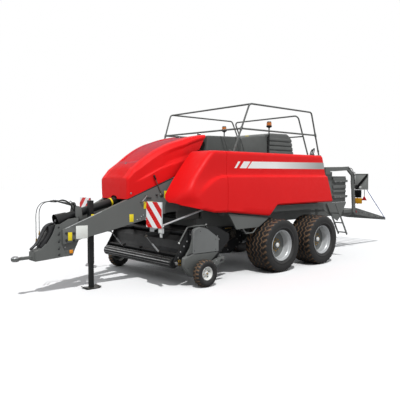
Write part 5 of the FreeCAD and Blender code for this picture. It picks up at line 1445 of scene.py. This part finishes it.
bm = bmesh.new()
eye = Vector((corners("drawbar_eye")[1].x - 66, 0, 620))
turned(bm, ((48, -29), (58, -29), (65.8, -18), (65.8, 18), (58, 29), (48, 29)), eye, Z, 0, 40)
turned(bm, ((27, -40), (44, -40), (48, -36), (48, 36), (44, 40), (27, 40), (27, -40)), eye, Z, 1, 40)
piece("eye_bushing", bm, [silver_enamel, bright_steel], body_of["drawbar_eye"])

FOOT_LIP = ((92, 3), (104, 3), (142, 30), (137, 38), (100, 15), (92, 15))
bm = bmesh.new()
low, high = corners("jack_leg")
middle = (low + high) / 2
for sign in (1, -1):
    slab(bm, [(middle.x + sign * reach, z) for reach, z in FOOT_LIP], low.y, high.y, "Y", 0, 2)
piece("jack_foot_lips", bm, [black_enamel], body_of["jack_leg"])

# Along each beam's top edge, a silver strip at the front is a painted highlight, and a black strip under the
# hood is painted shade in the gap there.
bm = bmesh.new()
for x0, x1, radius, finish_index in ((3440, 4040, 4, 0), (2110, 2990, 8, 1)):
    ends = [Vector((x, beam_y(x) - 4, 1055 + (4050 - x) * 0.425)) for x in (x0, x1)]
    rod(bm, ends[0], ends[1], radius, finish_index, 8)
other_side(bm)
piece("beam_edge_highlight_and_shade_strips", bm, [silver_enamel, hose_black], body_of["drawbar_beams"])
print("the eye stands", round(eye.z), "mm above the ground")

# %% Head plates, trough and plugs
TROUGH = ((4190, 1150), (4335, 1165), (4330, 1060), (4400, 950), (4480, 850), (4440, 760), (4330, 850),
          (4230, 960), (4180, 1080))
HOSE_RUN = ((4170, 1, 1130), (4270, 1, 1120), (4330, 1, 1030), (4392, 0.9, 900), (4460, 0.8, 800),
            (4540, 0.6, 742))
bm = bmesh.new()
for sign in (1, -1):
    for z in (1085, 966, 850, 735, 640):
        knob(bm, (4150, sign * 180, z), Y * sign, 17, 15, 6, 8)
    knob(bm, (4047, sign * 186, 752), Y * sign, 13, 11, 7, 8, 1)
    knob(bm, (3916, sign * 186, 632), Y * sign, 13, 11, 7, 8, 1)
    block(bm, (3906, sign * 186 - 5, 646), (3968, sign * 186 + 5, 704), 2, 3)
slab(bm, [(x - 60, z - 50) for x, z in TROUGH], -78, 78, "Y", 0, 8)
for y, lift in ((-48, 0), (-16, 14), (16, 6), (48, 18)):
    bent(bm, [(x, y * spread, z + lift) for x, spread, z in HOSE_RUN], 15, 0, 12)
piece("head_trough", bm, [black_abs, bright_steel, orange_lens], body_of["drawbar_head"])
print("the drawbar is dressed")

# %% [markdown]
# ## Covers on top
# The bonnet between the hood and the knotters is grey sheet with rolled edges and two seams with
# black gaskets. The knotter cover behind it is moulded: its side is ribbed lengthwise, and a
# toothed strip joins the two.

# %% Bonnet and knotter cover
bm = bmesh.new()
slab(bm, ((304, 2373), (1270, 2373), (1224, 2700), (304, 2722)), -560, 560, "Y", 0, 34, 4)
for hinge_y in (-380, 300):
    block(bm, (1182, hinge_y, 2690), (1274, hinge_y + 10, 2746), 0, 3)
    rod(bm, (1262, hinge_y, 2735), (1262, hinge_y + 72, 2735), 9, 1, 14)
for head, foot in ((815, 674), (325, 184)):
    top_z = 2722 - (head - 305) * 22 / 920
    gasket = ((head + 12, 0, top_z), (head + 8, 380, top_z), (head, 532, top_z - 2),
              (head - 4, 560, top_z - 26), (head - 60, 561, 2600), (foot, 561, 2390))
    for sign in (1, -1):
        bent(bm, [(x, sign * y, z) for x, y, z in gasket], 4, 2, 6)
# The bonnet takes the darker copy of the grey enamel, as painted shade.
piece("bonnet_sheet", bm, [painted_shade_grey, bright_steel, black_abs], body_of["top_cover_front"],
      ("top_cover_front",), 30)

FRONT_PART = ((295, 2374), (295, 2718), (-220, 2788), (-560, 2814), (-560, 2374))
REAR_PART = ((-556, 2374), (-556, 2822), (-700, 2856), (-1250, 2868), (-1386, 2802), (-1484, 2374))
bm = bmesh.new()
slab(bm, FRONT_PART, -556, 556, "Y", 0, 46, 4)
slab(bm, REAR_PART, -548, 548, "Y", 0, 40, 4)
for sign in (1, -1):
    for z0, z1 in ((2392, 2470), (2490, 2568), (2588, 2666), (2686, 2752)):
        rib = ((-612, z0), (-612, z1), (-1462 + (z1 - 2374) * 0.22, z1), (-1462 + (z0 - 2374) * 0.22, z0))
        slab(bm, rib, sign * 540, sign * 568, "Y", 0, 13, 3)
    for i in range(8):
        block(bm, (-596, sign * 552 - 8, 2420 + 46 * i), (-552, sign * 552 + 12, 2450 + 46 * i), 1, 5)
for z in (2430, 2530, 2630, 2730):
    x = -1484 + (z - 2374) * 0.229
    block(bm, (x - 10, -480, z - 26), (x + 20, 480, z + 26), 0, 11, 3)
block(bm, (0, 470, 2744), (80, 520, 2762), 2, 3)
# The knotter cover takes the darker copy of the grey ABS, as painted shade.
piece("knotter_moulding", bm, [painted_shade_abs, black_abs, yellow_film], body_of["knotter_cover"],
      ("knotter_cover",), 30)
print("the bonnet and the knotter cover are in place")

# %% Beacons
amber_lens, tree, place = finish("amber_lens")
waves = add(tree, "TexWave", {"Vector": place, "Scale": per_metre(8) / 6.28}, bands_direction="Z")
ridges = add(tree, "Bump", {"Strength": 0.4, "Distance": 0.001, "Height": waves.outputs["Fac"]})
surface = add(tree, "BsdfPrincipled", {"Base Color": "#E07A12", "Roughness": 0.15, "IOR": 1.58,
                                       "Transmission Weight": 0.35, "Normal": ridges})
add(tree, "OutputMaterial", {"Surface": surface})

STAND = ((0, 0), (34, 0), (34, 6), (17, 10), (14, 30), (14, 560), (18, 566), (24, 578), (0, 580))
LAMP_BASE = ((0, 578), (40, 578), (56, 590), (61, 600), (61, 618), (52, 622), (0, 622))
LENS = ((0, 620), (52, 620), (54, 640), (52, 672), (46, 686), (0, 688))
LAMP_LID = ((0, 682), (47, 682), (50, 690), (44, 704), (24, 711), (0, 712))
REFLECTOR = ((0, 630), (20, 630), (20, 670), (0, 675))
bm = bmesh.new()
for sign in (1, -1):
    foot = Vector((-450, sign * 680, 2372))
    for outline, index, steps in ((STAND, 0, 20), (LAMP_BASE, 0, 32), (LENS, 1, 32), (LAMP_LID, 0, 32),
                                  (REFLECTOR, 2, 16)):
        turned(bm, outline, foot, Z, index, steps)
piece("beacon_lamps", bm, [lamp_black, amber_lens, bright_steel], body_of["beacons"],
      ("beacons",), 35)
print("the beacons are in place")

# %% [markdown]
# The guard rails are bent tube. Cast clamps join the middle rail to the posts, each post stands in a
# welded foot plate with bolts, and two hoses loop over the deck behind the knotters.

# %% Rail clamps and feet
DECK_Z, RAIL_TOP_Z = 2372, 3290


def post_at(foot_x, top_x, z):
    """Where a leaning post stands at a height."""
    share = (z - DECK_Z) / (RAIL_TOP_Z - DECK_Z)
    return Vector((foot_x + (top_x - foot_x) * share, 1120 + 75 * share, z))


bm = bmesh.new()
for foot_x, top_x in ((1090, 735), (-1650, -1240)):
    for z, half, radius in ((2810, 34, 24), (2470, 22, 22)):
        rod(bm, post_at(foot_x, top_x, z - half), post_at(foot_x, top_x, z + half), radius, 0, 18)
    block(bm, (foot_x - 50, 1086, 2371.5), (foot_x + 50, 1146, 2380), 0, 3)
    for shift in (-38, 38):
        bolt(bm, (foot_x + shift, 1100, 2380), Z, 14, 1)
other_side(bm)
piece("rail_clamps", bm, [grey_enamel, bright_steel], body_of["guard_rails_sides"])

bm = bmesh.new()
for y, lift in ((960, 0), (1010, 26)):
    bent(bm, [(-1540, y, 2374), (-1556, y, 2440 + lift), (-1620, y, 2520 + lift),
              (-1680, y - 30, 2500 + lift), (-1690, y - 60, 2420), (-1664, y - 70, 2374)], 11, 0, 10)
    for x, shift in ((-1540, 0), (-1664, -70)):
        rod(bm, (x, y + shift, 2371.5), (x, y + shift, 2396), 17, 1, 6)
block(bm, (-1700, 880, 2371), (-1510, 1030, 2377), 1, 2)
piece("deck_pipes", bm, [hose_black, dark_steel], body_of["service_deck"])
print("the top is dressed")

# %% [markdown]
# ## Rear
# Each rear light board is a folded grey panel. Its front, which faces the machine, is stiffened by a
# black channel laid from corner to corner. A lamp cluster, a blank orange plate and a red triangle
# hang below it.

# %% Light boards
PANEL = ((642, 1562), (1013, 1562), (1013, 1978), (642, 1978))
CHANNEL = ((664, 1575), (720, 1575), (1010, 1925), (1010, 1975), (985, 1975), (664, 1620))
TRIANGLE = ((842, 1286), (986, 1286), (914, 1402))
bm = bmesh.new()
slab(bm, PANEL, -4018, -4004, "X", 0, 3)
for y0, z0, y1, z1 in ((642, 1562, 660, 1978), (995, 1562, 1013, 1978), (660, 1562, 995, 1580),
                       (660, 1960, 995, 1978)):
    block(bm, (-4004, y0, z0), (-3996, y1, z1), 0, 2)
slab(bm, CHANNEL, -4004, -3978, "X", 1, 6)
for low, high, index, width in (
    ((-3996, 690, 1600), (-3790, 739, 1680), 1, 4),
    ((-4004, 776, 1590), (-3976, 826, 1650), 2, 5),
    ((-4014, 640, 1352), (-3988, 830, 1556), 1, 8),
    ((-4010, 708, 1180), (-3994, 724, 1360), 1, 2),
    ((-4013, 640, 1196), (-4009, 848, 1342), 3, 1.5),
    ((-3994, 640, 1196), (-3990, 848, 1342), 3, 1.5),
    ((-4005, 904, 1300), (-3997, 922, 1556), 1, 2),
):
    block(bm, low, high, index, width)
for low, high in ((-3997, -3988), (-4014, -4005)):
    slab(bm, TRIANGLE, low, high, "X", 4, 3)
for y, z, lens in ((720, 1420, 4), (720, 1490, 5), (780, 1455, 6)):
    turned(bm, ((0, 0), (28, 0), (28, 6), (20, 10), (0, 12)), (-4014, y, z), -X, lens, 20)
bent(bm, [(-3985, 655, 1960), (-3960, 640, 2010), (-3900, 690, 2030), (-3840, 735, 1990),
          (-3800, 741, 1900)], 7, 1, 8)
other_side(bm)
# The boards take the lighter copy of the grey enamel, as painted light on their faces.
panel_finishes = [painted_light_panel_grey, lamp_black, white_cap, orange_plate_film, red_lens, orange_lens, white_film]
piece("rear_light_panels", bm, panel_finishes, body_of["rear_light_boards"],
      ("rear_light_boards",), 30)
print("the light boards are in place")

# %% [markdown]
# The chamber's sides and the density doors are stiffened with pressed channels, and rams press the
# doors together through the portal. The rams don't move here, because the doors have no joint.

# %% Density doors and portal
bm = bmesh.new()
for z0, z1 in ((1500, 1560), (1600, 1690), (1800, 1880)):
    slab(bm, ((-3540, z0), (-2960, z0), (-2960, z1), (-3540, z1)), 628, 660, "Y", 0, 10, 3)
for x in (-3480, -3240, -3000):
    for z in (1385, 1775):
        bolt(bm, (x, 690, z), Y, 26, 1)
rod(bm, (-3560, 700, 2090), (-2900, 700, 2060), 26, 0, 20)
rod(bm, (-2900, 700, 2060), (-2620, 700, 2046), 15, 1, 16)
rod(bm, (-3760, 715, 1400), (-3700, 715, 1800), 24, 0, 18)
for x, z in ((-3560, 2110), (-3700, 1990), (-3800, 1700), (-3815, 1400), (-3815, 1150)):
    bolt(bm, (x, 740, z), Y, 28, 1)
bent(bm, [(-3500, 752, 2120), (-3600, 756, 2130), (-3700, 756, 2060), (-3790, 754, 1900),
          (-3800, 752, 1700)], 8, 2, 8)
other_side(bm)
piece("portal_rams", bm, [grey_enamel, bright_steel, hose_black], body_of["tension_frame"])
print("the portal has its rams")

# %% Chute fittings
CHUTE_TOP, CHUTE_END = Vector((-4050, 1085)), Vector((-5700, 735))


def chute_z(x):
    """The height of the chute's upper edge, which slopes down to the rear."""
    return CHUTE_TOP.y + (x - CHUTE_TOP.x) * (CHUTE_END.y - CHUTE_TOP.y) / (CHUTE_END.x - CHUTE_TOP.x)


bm = bmesh.new()
for x in (-4250, -4600, -4950, -5300):
    knob(bm, (x, 620, chute_z(x) - 60), Y, 16, 14, 6, 7, 0, 14)
for x in (-4420, -4780, -5130):
    knob(bm, (x, 620, chute_z(x) - 78), Y, 24, 24, 2, 2, 1, 20)
block(bm, (-4130, 600, 946), (-4090, 632, 1000), 2, 5)
other_side(bm)
block(bm, (-5660, 618, 716), (-5600, 627, 756), 0, 4)
piece("chute_fittings", bm, [bright_steel, black_abs, red_lens], body_of["chute_frame"])
print("the rear is dressed")

# %% [markdown]
# ## Machinery between the pick-up and the wheels
# The feeder's side carries its drives: sprockets with a roller chain, a tensioner, bolted covers and
# a grease block. They lie deep in shade, so they have few faces, but they keep the gap from looking
# empty.


# %% Sprockets and chain
def sprocket(bm, place, radius, teeth, outward):
    """A toothed wheel: a circle whose points lie in and out by turns, with a hub."""
    shape = bmesh.new()
    ring = bmesh.ops.create_circle(shape, cap_ends=True, segments=teeth * 4, radius=radius)["verts"]
    for i, vertex in enumerate(ring):
        vertex.co *= 1 if i % 4 < 2 else 1 - 9 / radius
    draw_out(shape, Z * 10)
    pour(bm, shape, 0, aim(place, outward))
    hub, boss = radius * 0.34, radius * 0.2
    turned(bm, ((0, -20), (hub, -20), (hub, 22), (boss, 28), (0, 28)), place, outward, 0, 24)


def chain(bm, places, links):
    """A roller chain as a row of small links along a closed path of straight runs."""
    runs = list(zip(places, places[1:] + places[:1]))
    total = sum((b - a).length for a, b in runs)
    half = total / links * 0.42
    for i in range(links):
        left = total * i / links
        for a, b in runs:
            if left <= (b - a).length:
                break
            left -= (b - a).length
        middle, along = a.lerp(b, left / (b - a).length), (b - a).normalized()
        turn = Matrix.Translation(middle) @ along.to_track_quat("X", "Z").to_matrix().to_4x4()
        block(bm, (-half, -9, -7), (half, 9, 7), 1, 3, 1, turn)


CHAIN_LINE = ((1200, 678), (660, 848), (580, 800), (585, 700), (660, 672), (830, 606), (900, 520),
              (1130, 448), (1240, 452), (1300, 545))
FEEDER_BOLTS = ((420, 820), (500, 640), (420, 560), (980, 800), (1180, 840), (1340, 760), (1340, 660),
                (520, 480), (760, 440), (960, 440), (400, 700))
GREASE_LINES = (
    ((724, 32, 881), (690, 60, 840), (640, 50, 740), (560, 40, 700), (480, 12, 690)),
    ((800, 32, 881), (800, 70, 820), (900, 60, 700), (960, 20, 640)),
)
bm = bmesh.new()
for sign in (1, -1):
    y = sign * 676
    for x, z, radius, teeth in ((1180, 560, 118, 22), (640, 760, 86, 16), (860, 560, 52, 10)):
        sprocket(bm, (x, y, z), radius, teeth, Y * sign)
    chain(bm, [Vector((x, y, z)) for x, z in CHAIN_LINE], 60)
    for x, z in FEEDER_BOLTS:
        bolt(bm, (x, sign * 650, z), Y * sign, 24, 2)
    block(bm, (700, y - 16, 862), (900, y + 16, 900), 3, 6)
    for i in range(5):
        rod(bm, (724 + 38 * i, y + sign * 14, 881), (724 + 38 * i, y + sign * 34, 881), 8, 4, 8)
    for line in GREASE_LINES:
        bent(bm, [(x, y + sign * out, z) for x, out, z in line], 7, 5, 8)
piece("feeder_drives", bm, [dark_steel, dark_steel, bright_steel, black_enamel, gold_zinc, hose_black],
      body_of["feeder_housing"])
print("the feeder's drives are in place")

# %% [markdown]
# The room between the beams holds the driveline's guard, its hoses and the jack's head. A rounded
# bracket with two rings carries the pipes that run back from the clamp.

# %% Brackets and pipes over the driveline
BRACKET = ((3700, 1200), (3790, 1180), (3836, 1250), (3836, 1400), (3812, 1424), (3730, 1400))
bm = bmesh.new()
slab(bm, BRACKET, 146, 156, "Y", 0, 3)
for x, z in ((3852, 1466), (3800, 1436)):
    turned(bm, ((26, -5), (36, -5), (36, 5), (26, 5)), (x, 20, z), X, 0, 24)
slab(bm, ((3790, 1300), (3816, 1300), (3840, 1420), (3800, 1420)), 12, 28, "Y", 0, 4)
for i, y in enumerate((-44, -24, -4)):
    bent(bm, [(4072, y, 1500), (4010, y + 4, 1508 + 8 * i), (3940, y + 20, 1500 + 6 * i),
              (3880, 18 + 6 * i, 1470), (3840, 20 + 5 * i, 1400), (3800, 30, 1330)], 7, 1, 8)
block(bm, (4096, -66, 1482), (4146, 16, 1518), 2, 5)
for x in (4106, 4136):
    bolt(bm, (x, -25, 1518), Z, 14, 3)
turned(bm, ((0, 0), (30, 0), (32, 6), (32, 50), (26, 58), (0, 58)), (3541, 122, 1494), -Z, 2, 24)
piece("drawbar_pipes", bm, [grey_enamel, hose_black, lamp_black, bright_steel], body_of["drawbar_beams"])

SHAFT_SLOPE = 0.26
bm = bmesh.new()
for x, radius, index in ((3075, 74, 0), (3010, 66, 1)):
    turned(bm, ((radius - 8, -16), (radius, -14), (radius, 14), (radius - 8, 16)),
           (x, 0, 1180 + (4120 - x) * SHAFT_SLOPE), (-1, 0, SHAFT_SLOPE), index, 40)
piece("driveline_collars", bm, [yellow_film, white_cap], body_of["drive_guard"])
print("the driveline has its pipes and collars")

# %% [markdown]
# ## Finishes for the CAD nodes
# What the CAD shapes already show well, such as plate, beams and tube, keeps its shape and takes a
# finish. Each node's finish follows its slot in the record.

# %% Nodes and their finishes
SLOT_FINISHES = {
    "red": red_enamel, "grey": grey_enamel, "black": black_enamel, "silver": silver_enamel,
    "tyre": tyre_black, "plastic": grey_abs, "steel": bright_steel, "board": silver_enamel,
    "rubber": hose_black, "rope": blue_rope,
}
for node, obj in frame["nodes"].items():
    obj.data.materials.clear()
    obj.data.materials.append(SLOT_FINISHES[slots[node]])
print("finished", len(frame["nodes"]), "nodes")
